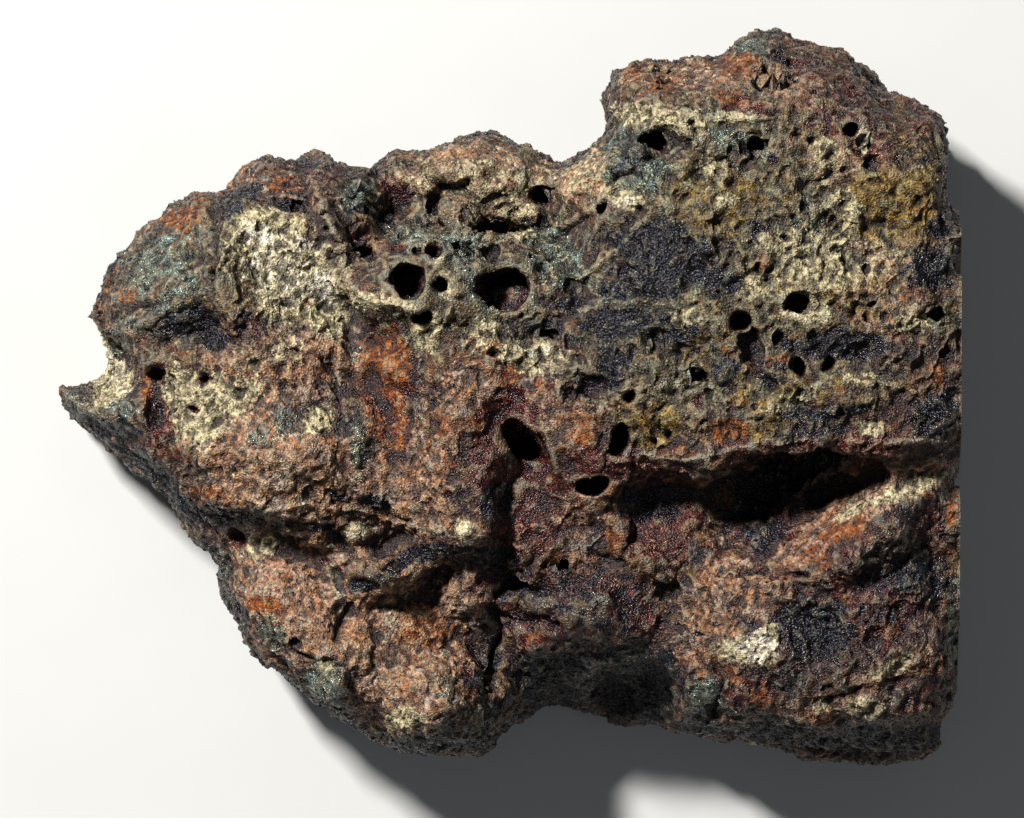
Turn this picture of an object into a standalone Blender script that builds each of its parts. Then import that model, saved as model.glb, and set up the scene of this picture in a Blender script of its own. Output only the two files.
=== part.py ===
"""A thick, sawn piece of a weathered iron meteorite, lying on its sawn back.

The crusted natural face looks up. It is one solid: rounded masses of iron that
grew together, with ledges, hollows, deep pockets and open gas bubbles. The
right side and the back are flat saw cuts.

The frame: X runs along the longest side, from the spur to the sawn side, Y
across it, and Z up from the sawn back. The origin is the middle of the back's
bounding rectangle. Every size in the lists below is in millimetres.
"""

import math
from collections import namedtuple

import bmesh
import bpy
import numpy as np
from mathutils import Euler, Matrix, Vector, noise

MM = 0.001

# Driving dimensions.
LENGTH = 100.0  # spur tip to sawn side
BACK_ALLOWANCE = 5.0  # metal below the back, removed by the saw
BLANK_TOP = 40.0
THINNEST = 2.0  # metal left over the back under the deepest hollow
COARSE_VOXEL = 0.8  # grain of the first shaping
FINE_VOXEL = 0.6  # grain of the finished relief
TOOL_VOXEL = 0.4  # grain of the pockets' cutters
LARGE_BUBBLE = 1.5  # past this radius a bubble is cut with a rounder egg
SAW_REACH = 80.0
TRIANGLES_BEFORE_SAWING = 6600

# The outline of the piece, anticlockwise seen from below and clockwise from
# above: x, y, the height of its widest level, and how softly its edge rounds.
OUTLINE = [
    # The spur and the scooped notch above it.
    (-49.9, 0.7, 10, 3), (-49.4, 1.5, 10, 3), (-47.8, 1.4, 10, 3), (-46.6, 2.7, 9, 3),
    (-45.4, 3.7, 9, 4), (-45.2, 5.4, 9, 4), (-45.8, 6.8, 10, 5), (-46.3, 9.2, 11, 7),
    # The round shoulder of the left lobe.
    (-46.3, 10.5, 12, 8), (-44.7, 13.8, 12, 9), (-41.6, 17.2, 12, 9), (-39.0, 19.8, 12, 9),
    (-35.7, 22.6, 12, 9), (-32.9, 23.8, 12, 8), (-31.7, 23.6, 12, 8), (-29.2, 25.5, 12, 8),
    (-26.4, 26.6, 12, 8), (-23.0, 26.8, 12, 8), (-20.1, 27.3, 12, 7), (-17.9, 26.2, 11, 6),
    # The low lobe that lies further back.
    (-15.9, 26.2, 9, 5), (-15.2, 27.7, 8, 5), (-13.8, 28.6, 8, 5), (-12.1, 28.7, 8, 5),
    (-11.1, 28.1, 8, 5), (-8.3, 27.9, 8, 6), (-6.6, 28.8, 8, 6), (-2.6, 29.7, 8, 6),
    (0.2, 29.2, 8, 6), (2.6, 28.4, 8, 5), (4.9, 26.7, 8, 4), (6.8, 26.6, 8, 4),
    (8.4, 27.5, 9, 4), (10.7, 28.7, 11, 5), (11.2, 30.1, 13, 6), (11.0, 34.7, 13, 6),
    # The prow, with its dip and its knob.
    (11.6, 35.5, 13, 7), (12.9, 36.8, 13, 7), (14.9, 37.9, 13, 7), (16.8, 37.6, 13, 7),
    (21.1, 37.9, 13, 7), (22.3, 37.4, 13, 7), (24.1, 38.2, 13, 7), (25.7, 40.1, 13, 8),
    (27.2, 40.8, 13, 8), (30.3, 40.8, 13, 8), (33.0, 39.7, 13, 8), (36.6, 38.8, 13, 8),
    (38.4, 38.1, 13, 8), (42.1, 34.6, 13, 7), (45.8, 33.1, 14, 6), (47.7, 31.6, 16, 4),
    # The side that the saw trims, with its weathered corners.
    (48.7, 29.9, 18, 3), (48.8, 26.3, 20, 2), (48.4, 23.6, 20, 2), (49.1, 21.4, 22, 1.5),
    (50.6, 17.3, 24, 1.2), (50.3, 15.4, 24, 1.2), (49.0, 14.5, 24, 1.2), (50.3, 11.8, 24, 1.2),
    (51.0, 6.5, 24, 1.2), (51.0, -5.2, 24, 1.2), (49.2, -7.7, 22, 1.5), (49.3, -10.2, 22, 1.5),
    (51.0, -13.7, 22, 1.5), (51.0, -20.7, 22, 1.5), (49.6, -25.9, 20, 2), (49.9, -29.9, 18, 2),
    (49.2, -34.5, 15, 3), (48.2, -36.1, 12, 4), (48.6, -38.3, 11, 5), (47.4, -39.4, 10, 5),
    # The long lower edge.
    (44.3, -40.8, 10, 6), (40.8, -40.9, 10, 6), (37.3, -40.3, 10, 6), (32.3, -40.6, 10, 5),
    (31.7, -39.8, 10, 5), (29.2, -38.7, 10, 5), (25.3, -38.4, 10, 5), (23.2, -37.6, 9, 5),
    (19.4, -37.4, 9, 4), (14.3, -36.6, 8, 4), (11.8, -36.5, 8, 4), (11.0, -35.5, 8, 4),
    (8.4, -34.4, 8, 4), (5.7, -33.8, 8, 4), (4.2, -34.1, 8, 4), (0.9, -35.8, 9, 4),
    # The round foot.
    (-0.1, -36.1, 10, 5), (-0.6, -37.7, 11, 6), (-1.4, -39.2, 12, 6), (-2.6, -39.6, 12, 6),
    (-6.0, -39.1, 12, 6), (-7.2, -40.3, 12, 7), (-9.0, -40.3, 12, 7), (-12.3, -39.8, 12, 7),
    (-14.6, -38.1, 12, 7), (-16.8, -36.6, 12, 6), (-18.2, -36.5, 12, 6), (-20.2, -35.3, 12, 6),
    # The slanting left edge, up to the spur.
    (-23.0, -32.4, 11, 6), (-26.8, -29.8, 11, 6), (-28.6, -27.8, 11, 6), (-31.3, -23.4, 11, 6),
    (-32.1, -19.4, 11, 6), (-33.2, -17.4, 10, 5), (-34.6, -16.9, 10, 5), (-35.6, -14.9, 10, 5),
    (-37.2, -12.2, 10, 6), (-39.3, -9.3, 10, 6), (-41.6, -7.3, 10, 5), (-45.1, -5.8, 10, 5),
    (-47.2, -3.9, 10, 4), (-48.8, -2.1, 10, 3), (-49.9, -0.3, 10, 3),
]
SAWN_SIDE_X = LENGTH / 2
OUTLINE_STEPS = 5  # straight pieces between two outline points

# The rounded masses that make up the natural face. Each rises to `top` and
# falls by `drop` at the edge of its ellipse (rx, ry, turned by `turn` degrees).
# `square` is 2 for an ellipse, more for a squarer one, `flat` is 2 for a dome.
Mass = namedtuple("Mass", "x y rx ry turn top drop square flat")
MASSES = {
    "left_lobe": Mass(-30.2, 12.1, 16.5, 13.5, 38, 29.0, 10, 2, 2.6),
    "left_body": Mass(-24.1, -5.7, 19.0, 12.0, -10, 28.5, 8, 2, 3.0),
    "lower_body": Mass(-19.7, -24.6, 15.5, 12.5, -20, 25.0, 7, 2, 3.0),
    "foot": Mass(-7.4, -33.5, 8.5, 7.5, 0, 27.0, 9, 2, 2.5),
    "column": Mass(-5.8, -5.7, 7.0, 17.0, 9, 30.3, 6, 2, 2.4),
    "middle_block": Mass(9.2, -23.0, 12.0, 10.0, 0, 25.0, 9, 2, 2.4),
    "slab": Mass(31.4, 14.3, 22.0, 22.0, 0, 32.5, 4, 4, 5.0),
    "prow": Mass(30.3, 32.1, 19.0, 8.5, -5, 31.0, 8, 2, 2.2),
    "lower_right": Mass(35.9, -24.6, 17.0, 13.5, 0, 28.0, 5, 3, 3.0),
    "pocket_lip": Mass(40.5, -13.6, 9.5, 5.4, 40, 30.5, 5, 2, 2.4),
    "back_lobe": Mass(-2.4, 24.2, 14.5, 6.6, 0, 18.0, 5, 2, 2.5),
    "spur": Mass(-44.1, -1.8, 7.5, 3.2, -27, 20.0, 7, 2, 2.0),
    "bubble_band": Mass(-4.1, 11.6, 14.5, 6.2, 0, 30.0, 6, 2, 3.0),
    "middle_join": Mass(10.3, -0.2, 12.5, 12.5, 0, 30.5, 5, 2, 3.0),
    "centre_fill": Mass(-4.5, 4.5, 11.0, 8.0, 0, 30.0, 5, 2, 3.0),
    "basin_foot": Mass(-24.5, 4.6, 9.0, 6.0, 0, 28.3, 5, 2, 3.0),
    "hollow_floor": Mass(16.5, -14.0, 6.5, 6.0, 0, 27.0, 4, 2, 3.0),
    "east_shelf": Mass(45.5, -11.5, 8.5, 5.5, 0, 28.0, 3, 2, 3.0),
    "crust_lump": Mass(-12.5, -20.0, 4.4, 2.6, 15, 28.6, 7, 2, 2.0),
}
LOWEST_FACE = 10.0
MASS_BLEND = 0.8  # how softly one mass runs into the next

# Steps in the natural face. The low side is on the right of each line, and it
# rises again over the ledge's reach.
LEDGE_STEEPNESS = 0.9
LEDGE_FADE = 2.2  # past the ends of the line
WEB_FADE = 1.5
Ledge = namedtuple("Ledge", "drop reach line")
LEDGES = {
    "left_ledge": Ledge(3.8, 4.5, [(-36.6, -12.6), (-32.4, -12.9), (-28.0, -13.5),
                                   (-23.0, -14.8), (-19.7, -16.6), (-18.0, -19.6)]),
    "left_step": Ledge(1.4, 3.0, [(-21.3, -10.4), (-16.3, -11.3), (-9.7, -12.4)]),
    "centre_ledge": Ledge(3.4, 4.0, [(-18.0, -22.1), (-14.7, -22.3), (-10.5, -19.5),
                                     (-7.6, -17.6), (-4.1, -17.5), (0.6, -17.9)]),
    "block_crust": Ledge(1.6, 5.0, [(6.5, -18.6), (1.3, -19.5), (-0.6, -21.2), (-1.0, -26.0),
                                    (-1.8, -31.5)]),
    "slab_edge": Ledge(3.0, 6.0, [(16.0, -8.8), (21.4, -8.8), (28.1, -7.5), (38.1, -6.9),
                                  (42.6, -7.7), (51.0, -5.9)]),
    "lower_step": Ledge(8.0, 40.0, [(29.0, -35.2), (32.6, -35.9), (35.9, -36.6), (40.3, -35.6),
                                    (51.0, -34.0)]),
    "band_edge": Ledge(4.5, 7.0, [(6.5, 16.6), (1.0, 17.8), (-4.1, 18.2), (-9.0, 18.4),
                                  (-13.6, 21.0), (-16.8, 26.5)]),
    "clay_step": Ledge(1.8, 5.0, [(-31.9, 22.5), (-32.3, 17.0), (-33.0, 11.5), (-30.0, 7.6)]),
    "plate_edge": Ledge(1.5, 6.5, [(-16.2, 7.5), (-17.0, 2.0), (-16.6, -4.5), (-14.0, -8.5)]),
}

# Narrow raised webs of metal: height, half-width and line.
Web = namedtuple("Web", "height width line")
WEBS = {
    "basin_web": Web(1.9, 1.5, [(-21.1, 23.1), (-18.3, 17.1), (-17.4, 13.4), (-14.7, 10.9),
                                (-9.7, 9.6)]),
    "saddle_web": Web(1.5, 1.3, [(-17.0, 24.4), (-15.4, 20.0), (-13.6, 15.4)]),
    "band_rim": Web(1.3, 1.1, [(-10.5, 17.8), (-5.0, 17.3), (0.3, 16.9), (4.6, 15.6), (9.4, 19.5)]),
    "spur_crest": Web(2.0, 1.4, [(-49.0, 0.2), (-46.8, -1.4), (-43.5, -2.4), (-40.2, -1.0)]),
    "pit_rim": Web(1.6, 1.4, [(-9.3, 22.0), (-7.6, 25.0), (-3.6, 25.0), (-1.8, 21.6)]),
    "slab_brow": Web(1.1, 1.6, [(21.9, -6.8), (28.1, -5.6), (38.0, -4.8), (47.0, -4.6)]),
    "lip_crest": Web(1.5, 1.6, [(33.0, -19.3), (38.1, -18.0), (41.3, -16.0), (42.5, -12.0),
                                (48.4, -8.9)]),
    "pocket_cheek": Web(1.0, 1.2, [(22.1, -6.4), (22.3, -9.5), (20.6, -13.0)]),
    "block_seam": Web(1.0, 0.9, [(15.6, -24.0), (19.2, -30.6), (20.4, -35.4)]),
}

# Smooth hollows (positive depth) and swells (negative depth).
Dent = namedtuple("Dent", "x y rx ry turn depth square")
DENTS = {
    "clay_basin": Dent(-24.7, 14.8, 7.5, 9.0, 20, 2.8, 2),
    "dark_hollow": Dent(-35.6, 7.4, 5.6, 2.6, 12, 2.4, 2),
    "notch": Dent(-45.3, 3.9, 5.4, 4.8, 0, 13.0, 2),
    "scoop": Dent(-37.6, -2.0, 2.4, 5.0, 5, 1.8, 2),
    "rust_plate": Dent(-12.2, -0.2, 4.4, 9.0, 4, 1.0, 4),
    "prow_hollow": Dent(28.9, 34.8, 4.2, 2.2, 10, 2.2, 2),
    "prow_gully": Dent(19.5, 35.8, 4.6, 3.0, -20, 2.6, 2),
    "dust_hollow": Dent(17.4, 28.0, 3.4, 3.0, 0, 2.6, 2),
    "rough_field": Dent(37.8, 18.3, 8.0, 6.5, -10, 1.2, 2),
    "slab_trough": Dent(36.5, 5.2, 7.5, 2.6, 4, 1.5, 2),
    "slab_saddle": Dent(20.5, 2.8, 3.6, 5.0, 20, 1.6, 2),
    "column_valley": Dent(2.2, -11.5, 2.8, 9.0, -6, 3.2, 2),
    "purple_hollow": Dent(17.4, -13.7, 4.6, 4.6, 0, 1.8, 4),
    "bottom_recess": Dent(14.1, -33.6, 5.6, 4.6, 0, 6.0, 4),
    "recess_slope": Dent(8.5, -31.0, 7.5, 5.0, 0, 3.0, 2),
    "rust_slot": Dent(26.6, 5.2, 2.0, 3.4, 10, 1.8, 2),
    "side_swell": Dent(-24.0, -6.5, 6.0, 3.6, 20, -1.4, 2),
    "pocket_slope": Dent(35.8, -11.2, 7.5, 3.4, 36, 3.4, 2),
    "pocket_mouth": Dent(27.0, -14.5, 7.0, 5.0, 30, 3.0, 2),
    "dark_patch": Dent(34.0, -26.0, 5.0, 4.6, 0, 1.3, 2),
    "pale_dimple": Dent(27.2, -27.6, 2.2, 2.0, 0, 0.9, 2),
    "grey_knob": Dent(-19.6, -31.4, 4.0, 3.0, 0, -1.5, 2),
    "foot_dip": Dent(-13.0, -27.5, 3.5, 2.5, -30, 1.6, 2),
}


# Egg shapes that are cut away. The turn is in degrees about X, Y and Z.
Egg = namedtuple("Egg", "x y z rx ry rz turn")
POCKETS = [
    # The big pocket under the slab's lower edge, in overlapping scoops.
    Egg(28.6, -10.6, 26.0, 8.8, 4.8, 9.0, (24, 0, 33)),
    Egg(25.0, -13.6, 27.0, 4.2, 4.2, 8.0, (12, 0, 0)),
    Egg(33.0, -8.4, 28.5, 6.0, 3.0, 7.0, (24, 0, 20)),
    Egg(40.2, -8.6, 29.5, 2.6, 1.5, 6.0, (20, 0, 22)),
    # The recess in the lower edge.
    Egg(14.0, -34.2, 19.5, 5.2, 4.2, 9.0, (0, 0, -8)),
    # The notch above the spur.
    Egg(-46.4, 4.0, 20.0, 3.6, 3.8, 12.0, (0, -8, 0)),
    # The gaps behind the band of bubbles, under its rim.
    Egg(1.0, 19.2, 15.0, 4.6, 1.3, 9.5, (0, 0, 4)),
    Egg(2.8, 21.8, 13.5, 2.8, 1.1, 8.0, (0, 0, 8)),
    Egg(-8.8, 20.0, 14.0, 3.0, 1.0, 6.5, (0, 0, -24)),
    # The round pit of the far lobe.
    Egg(-5.6, 22.6, 19.5, 3.4, 3.2, 4.0, (0, 0, 0)),
]
BUBBLES = [
    # The band of large bubbles across the middle.
    Egg(-11.0, 12.8, 28.0, 2.2, 1.9, 6.0, (0, 0, -35)),
    Egg(-0.4, 12.0, 28.2, 3.2, 2.5, 6.5, (0, 0, 8)),
    Egg(-7.1, 12.6, 29.0, 1.1, 1.05, 5.0, (0, 0, 0)),
    Egg(-8.4, 16.1, 27.0, 1.1, 1.0, 5.0, (0, 0, 0)),
    Egg(-12.3, 16.4, 27.0, 1.1, 0.8, 4.0, (0, 0, 0)),
    Egg(-9.2, 8.9, 29.0, 1.2, 0.9, 4.0, (0, 0, 10)),
    # Bubbles and cracks at the meeting of the three masses.
    Egg(2.2, -5.6, 27.0, 1.7, 3.8, 8.0, (0, 0, 38)),
    Egg(9.4, -9.8, 28.0, 2.1, 0.9, 6.0, (0, 0, 14)),
    Egg(12.3, -4.6, 29.0, 1.0, 1.9, 6.0, (0, 0, -16)),
    Egg(-1.5, -25.6, 24.0, 0.6, 4.2, 6.0, (0, 0, -3)),
    # The slab's own bubbles.
    Egg(25.4, 8.4, 31.0, 1.3, 1.25, 5.0, (0, 0, 0)),
    Egg(37.6, 29.4, 28.5, 1.1, 1.3, 5.0, (0, 0, 0)),
    Egg(16.4, 28.3, 27.0, 1.4, 1.2, 5.0, (0, 0, 0)),
    Egg(32.0, 3.6, 31.0, 0.7, 1.2, 5.0, (0, 0, 0)),
    Egg(35.3, 3.6, 31.0, 0.9, 1.0, 5.0, (0, 0, 0)),
    Egg(13.6, 0.0, 30.5, 0.9, 0.9, 4.5, (0, 0, 0)),
    Egg(29.2, 26.5, 29.0, 0.75, 1.0, 4.5, (0, 0, 0)),
    Egg(21.0, -0.3, 31.5, 0.6, 1.3, 4.0, (0, 0, 0)),
    Egg(31.8, 10.4, 32.0, 1.6, 1.2, 2.4, (0, 0, 30)),
    Egg(10.7, 21.0, 26.0, 1.4, 0.9, 4.0, (0, 0, 30)),
    # The left lobe and the ledge below it.
    Egg(-38.8, 2.7, 26.0, 1.25, 1.4, 6.0, (0, 0, 0)),
    Egg(-33.2, 2.3, 27.0, 1.0, 0.7, 5.0, (0, 0, -30)),
    Egg(-34.6, -1.3, 27.0, 0.75, 0.7, 5.0, (0, 0, 0)),
    Egg(-29.6, -15.5, 22.5, 1.3, 1.3, 6.0, (0, 0, 0)),
    Egg(-20.2, -18.0, 22.0, 1.0, 0.5, 5.0, (0, 0, -20)),
]
# Open bubbles in the walls; the long axis runs into the metal.
WALL_BUBBLES = [
    Egg(-41.5, 15.0, 8.0, 4.5, 1.4, 1.5, (0, 0, -40)),
    Egg(-25.5, 25.0, 9.0, 1.9, 5.0, 1.6, (0, 0, 5)),
    Egg(-4.0, 27.5, 4.5, 1.3, 4.5, 1.1, (0, 0, 0)),
    Egg(18.0, 36.5, 12.0, 1.5, 4.0, 1.7, (0, 0, 0)),
    Egg(30.0, 39.0, 8.0, 2.2, 4.5, 1.9, (0, 0, 0)),
    Egg(35.5, 38.0, 15.0, 1.0, 4.0, 1.0, (0, 0, -20)),
    Egg(40.0, -39.0, 8.0, 1.7, 4.5, 1.5, (0, 0, 0)),
    Egg(26.0, -37.0, 12.0, 1.2, 4.0, 1.3, (0, 0, 0)),
    Egg(-9.0, -38.5, 9.0, 1.6, 4.0, 1.5, (0, 0, 0)),
    Egg(-24.0, -29.5, 10.0, 1.7, 5.0, 1.9, (0, 0, -35)),
    Egg(-31.0, -21.0, 7.0, 4.5, 1.2, 1.2, (0, 0, 15)),
    Egg(-36.5, -9.5, 6.0, 4.5, 1.1, 1.0, (0, 0, 30)),
]
# Bubbles that the saw opened in the back and in the sawn side.
SAWN_BUBBLES = [
    Egg(-24.0, 6.0, 0.0, 2.6, 2.1, 2.4, (0, 0, 20)),
    Egg(-18.5, 10.5, 0.0, 1.2, 1.1, 1.6, (0, 0, 0)),
    Egg(-8.0, -12.0, 0.0, 1.6, 1.4, 1.8, (0, 0, 0)),
    Egg(6.0, 8.0, 0.0, 3.1, 2.2, 2.6, (0, 0, -30)),
    Egg(13.0, -4.0, 0.0, 1.4, 1.2, 1.8, (0, 0, 0)),
    Egg(27.0, 17.0, 0.0, 1.9, 1.6, 2.0, (0, 0, 0)),
    Egg(34.0, -14.0, 0.0, 2.4, 1.5, 2.0, (0, 0, 50)),
    Egg(20.0, -24.0, 0.0, 1.2, 1.2, 1.6, (0, 0, 0)),
    Egg(50.0, 6.0, 9.0, 2.0, 1.7, 1.4, (0, 0, 0)),
    Egg(50.0, -17.0, 16.0, 2.2, 1.6, 2.4, (20, 0, 0)),
    Egg(50.0, 1.0, 20.0, 1.5, 1.1, 1.1, (0, 0, 0)),
    Egg(50.0, -21.0, 6.0, 1.4, 1.2, 1.2, (0, 0, 0)),
]


def smooth_step(value, low, high):
    """0 below low, 1 above high, and a smooth rise between them."""
    t = np.clip((value - low) / (high - low), 0.0, 1.0)
    return t * t * (3.0 - 2.0 * t)


def ellipse_reach(x, y, shape):
    """0 at the shape's centre and 1 on its edge, past 1 outside it."""
    c, s = math.cos(math.radians(shape.turn)), math.sin(math.radians(shape.turn))
    along = ((x - shape.x) * c + (y - shape.y) * s) / shape.rx
    across = ((y - shape.y) * c - (x - shape.x) * s) / shape.ry
    return (np.abs(along) ** shape.square + np.abs(across) ** shape.square) ** (1 / shape.square)


def smooth_outline():
    """The outline as a closed Catmull-Rom curve, all four columns interpolated."""
    points = np.array(OUTLINE, float)
    before, after, beyond = (np.roll(points, shift, axis=0) for shift in (1, -1, -2))
    steps = []
    for t in np.arange(OUTLINE_STEPS) / OUTLINE_STEPS:
        steps.append(
            0.5 * (2 * points + (after - before) * t
                   + (2 * before - 5 * points + 4 * after - beyond) * t**2
                   + (3 * points - before - 3 * after + beyond) * t**3)
        )
    return np.stack(steps, axis=1).reshape(-1, 4)


def nearest_edge(x, y, rim):
    """For each point: distance in from the outline, the inward direction, and
    the widest level and softness of the outline there."""
    start, end = rim[:, :2], np.roll(rim[:, :2], -1, axis=0)
    run = end - start
    squared = (run**2).sum(axis=1)
    best = np.full(len(x), 1e9)
    index = np.zeros(len(x), int)
    for i in range(len(rim)):
        ahead = (x - start[i, 0]) * run[i, 0] + (y - start[i, 1]) * run[i, 1]
        along = np.clip(ahead / squared[i], 0, 1)
        foot_x, foot_y = start[i, 0] + along * run[i, 0], start[i, 1] + along * run[i, 1]
        distance = (x - foot_x) ** 2 + (y - foot_y) ** 2
        nearer = distance < best
        best[nearer] = distance[nearer]
        index[nearer] = i
    # The outline runs clockwise from above, so its inside is on the right.
    inward = np.stack([run[:, 1], -run[:, 0]], axis=1) / np.sqrt(squared)[:, None]
    return np.sqrt(best), inward[index], rim[index, 2], rim[index, 3]


def line_offset(x, y, line):
    """Signed distance from a line, positive on its right, and how far past an end."""
    best = np.full(len(x), 1e9)
    signed, past = np.zeros(len(x)), np.zeros(len(x))
    last = len(line) - 2
    for i, ((x0, y0), (x1, y1)) in enumerate(zip(line, line[1:])):
        dx, dy = x1 - x0, y1 - y0
        length = math.hypot(dx, dy)
        raw = ((x - x0) * dx + (y - y0) * dy) / length**2
        along = np.clip(raw, 0, 1)
        distance = np.hypot(x - x0 - along * dx, y - y0 - along * dy)
        right = (x - x0) * dy - (y - y0) * dx >= 0
        nearer = distance < best
        best[nearer] = distance[nearer]
        signed[nearer] = np.where(right, distance, -distance)[nearer]
        over = np.zeros(len(x))
        if i == 0:
            over = np.maximum(over, -raw * length)
        if i == last:
            over = np.maximum(over, (raw - 1) * length)
        past[nearer] = over[nearer]
    return signed, past


def face_height(x, y):
    """The height of the natural face above the sawn back."""
    tallest = max(mass.top for mass in MASSES.values())
    total = np.full(len(x), math.exp((LOWEST_FACE - tallest) / MASS_BLEND))
    for mass in MASSES.values():
        dome = mass.top - mass.drop * ellipse_reach(x, y, mass) ** mass.flat
        total += np.exp((np.maximum(dome, 0.0) - tallest) / MASS_BLEND)
    height = tallest + MASS_BLEND * np.log(total)
    for ledge in LEDGES.values():
        low_side, past = line_offset(x, y, ledge.line)
        recovery = np.exp(-((np.maximum(low_side, 0.0) / ledge.reach) ** 2) - (past / LEDGE_FADE) ** 2)
        height -= ledge.drop * smooth_step(low_side, 0.0, LEDGE_STEEPNESS) * recovery
    for web in WEBS.values():
        off, past = line_offset(x, y, web.line)
        height += web.height * np.exp(-((off / web.width) ** 2) - (past / WEB_FADE) ** 2)
    for dent in DENTS.values():
        inside = np.clip(1.0 - ellipse_reach(x, y, dent) ** 2, 0.0, 1.0)
        height -= dent.depth * smooth_step(inside, 0.0, 1.0 if dent.square == 2 else 0.6)
    return height


def points_of(mesh):
    """The mesh's points, in millimetres."""
    flat = np.empty(len(mesh.vertices) * 3, np.float32)
    mesh.vertices.foreach_get("co", flat)
    return flat.reshape(-1, 3).astype(float) / MM


def move_points(mesh, points):
    mesh.vertices.foreach_set("co", (points * MM).astype(np.float32).ravel())
    mesh.update()


def normals_of(mesh):
    flat = np.empty(len(mesh.vertices) * 3, np.float32)
    mesh.vertices.foreach_get("normal", flat)
    return flat.reshape(-1, 3).astype(float)


def apply_modifiers(obj):
    """Makes the modifiers' result the object's own mesh."""
    graph = bpy.context.evaluated_depsgraph_get()
    result = bpy.data.meshes.new_from_object(obj.evaluated_get(graph))
    obj.modifiers.clear()
    spent, obj.data = obj.data, result
    bpy.data.meshes.remove(spent)


def add_object(name, mesh):
    obj = bpy.data.objects.new(name, mesh)
    bpy.context.scene.collection.objects.link(obj)
    return obj


def remesh(obj, voxel, smoothing):
    """Rebuilds the surface in an even grain, as clay is worked over."""
    even = obj.modifiers.new("even_grain", "REMESH")
    even.mode = "VOXEL"
    even.voxel_size = voxel * MM
    soft = obj.modifiers.new("soften", "SMOOTH")
    soft.factor = 0.5
    soft.iterations = smoothing
    apply_modifiers(obj)


def blank(rim):
    """The outline extruded, with metal to spare below the back."""
    shape = bmesh.new()
    ring = [shape.verts.new((x * MM, y * MM, -BACK_ALLOWANCE * MM)) for x, y, _, _ in rim]
    face = shape.faces.new(ring)
    top = bmesh.ops.extrude_face_region(shape, geom=[face])["geom"]
    raised = [v for v in top if isinstance(v, bmesh.types.BMVert)]
    bmesh.ops.translate(shape, verts=raised, vec=(0, 0, (BLANK_TOP + BACK_ALLOWANCE) * MM))
    bmesh.ops.recalc_face_normals(shape, faces=shape.faces)
    mesh = bpy.data.meshes.new("meteorite")
    shape.to_mesh(mesh)
    shape.free()
    obj = add_object("meteorite", mesh)
    remesh(obj, COARSE_VOXEL, smoothing=1)
    return obj


def shape_masses(obj, rim):
    """Sets the height of every column of the blank, and rounds its edges."""
    points = points_of(obj.data)
    x, y = points[:, 0].copy(), points[:, 1].copy()
    inset, inward, widest, softness = nearest_edge(x, y, rim)
    face = np.maximum(face_height(x, y), THINNEST)
    t = np.clip(inset / softness, 0.0, 1.0)
    rounded = np.sqrt(1.0 - (1.0 - t) ** 2)
    edge = np.minimum(widest, face)
    top = edge + (face - edge) * rounded
    share = (points[:, 2] + BACK_ALLOWANCE) / (BLANK_TOP + BACK_ALLOWANCE)
    z = share * (top + BACK_ALLOWANCE) - BACK_ALLOWANCE
    # Below its widest level the wall draws in towards the back, with scooped hollows.
    below = np.clip((widest - z) / widest, 0.0, 1.4)
    draw, scoop = np.empty(len(x)), np.empty(len(x))
    for i, (px, py, pz) in enumerate(zip(x, y, z)):
        draw[i] = 2.2 + 2.4 * noise.noise(Vector((px * 0.07, py * 0.07, 3.0)))
        scoop[i] = max(0.0, noise.noise(Vector((px * 0.1, py * 0.1, pz * 0.13))))
    shift = draw * below**1.5 + 4.5 * scoop * np.clip(below * 3.0, 0.0, 1.0)
    shift *= smooth_step(softness, 1.6, 5.0) * np.clip(1.0 - inset / 9.0, 0.0, 1.0)
    move_points(obj.data, np.stack([x + inward[:, 0] * shift, y + inward[:, 1] * shift, z], axis=1))


def roughen(obj):
    """Lumps and creases of the weathered skin, pushed along its normals."""
    points, normals = points_of(obj.data), normals_of(obj.data)
    push = np.empty(len(points))
    for i, (x, y, z) in enumerate(points):
        place = Vector((x, y, z * 1.2))
        broad = noise.noise(place * 0.13)
        lumps = noise.noise(place * 0.27 + Vector((9, 4, 2)))
        hackly = 0.5 - 2.0 * abs(noise.noise(place * 0.36 + Vector((3, 7, 5))))
        push[i] = 0.5 * broad + 0.7 * lumps + 0.55 * hackly
    move_points(obj.data, points + normals * push[:, None])


def largest_piece(obj):
    """Drops crumbs that the pockets cut loose."""
    shape = bmesh.new()
    shape.from_mesh(obj.data)
    waiting = set(shape.verts)
    best = set()
    while waiting:
        piece, front = set(), {waiting.pop()}
        while front:
            piece |= front
            front = {e.other_vert(v) for v in front for e in v.link_edges} - piece
        waiting -= piece
        if len(piece) > len(best):
            best = piece
    bmesh.ops.delete(shape, geom=[v for v in shape.verts if v not in best], context="VERTS")
    shape.to_mesh(obj.data)
    shape.free()


def add_cutter(name, shape):
    """An object that is only cut with and never seen."""
    mesh = bpy.data.meshes.new(name)
    shape.to_mesh(mesh)
    shape.free()
    obj = add_object(name, mesh)
    obj.hide_render = True
    obj.display_type = "WIRE"
    return obj


def egg_cutter(name, eggs, voxel=None):
    """Eggs to cut with. With a voxel size, those that overlap run together."""
    shape = bmesh.new()
    for egg in eggs:
        large = voxel or max(egg.rx, egg.ry) > LARGE_BUBBLE
        bmesh.ops.create_uvsphere(
            shape,
            u_segments=12 if large else 7,
            v_segments=7 if large else 4,
            radius=1.0,
            matrix=Matrix.LocRotScale(
                Vector((egg.x, egg.y, egg.z)) * MM,
                Euler([math.radians(angle) for angle in egg.turn]),
                Vector((egg.rx, egg.ry, egg.rz)) * MM,
            ),
        )
    obj = add_cutter(name, shape)
    if voxel:
        joined = obj.modifiers.new("run_together", "REMESH")
        joined.mode = "VOXEL"
        joined.voxel_size = voxel * MM
    return obj


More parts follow.
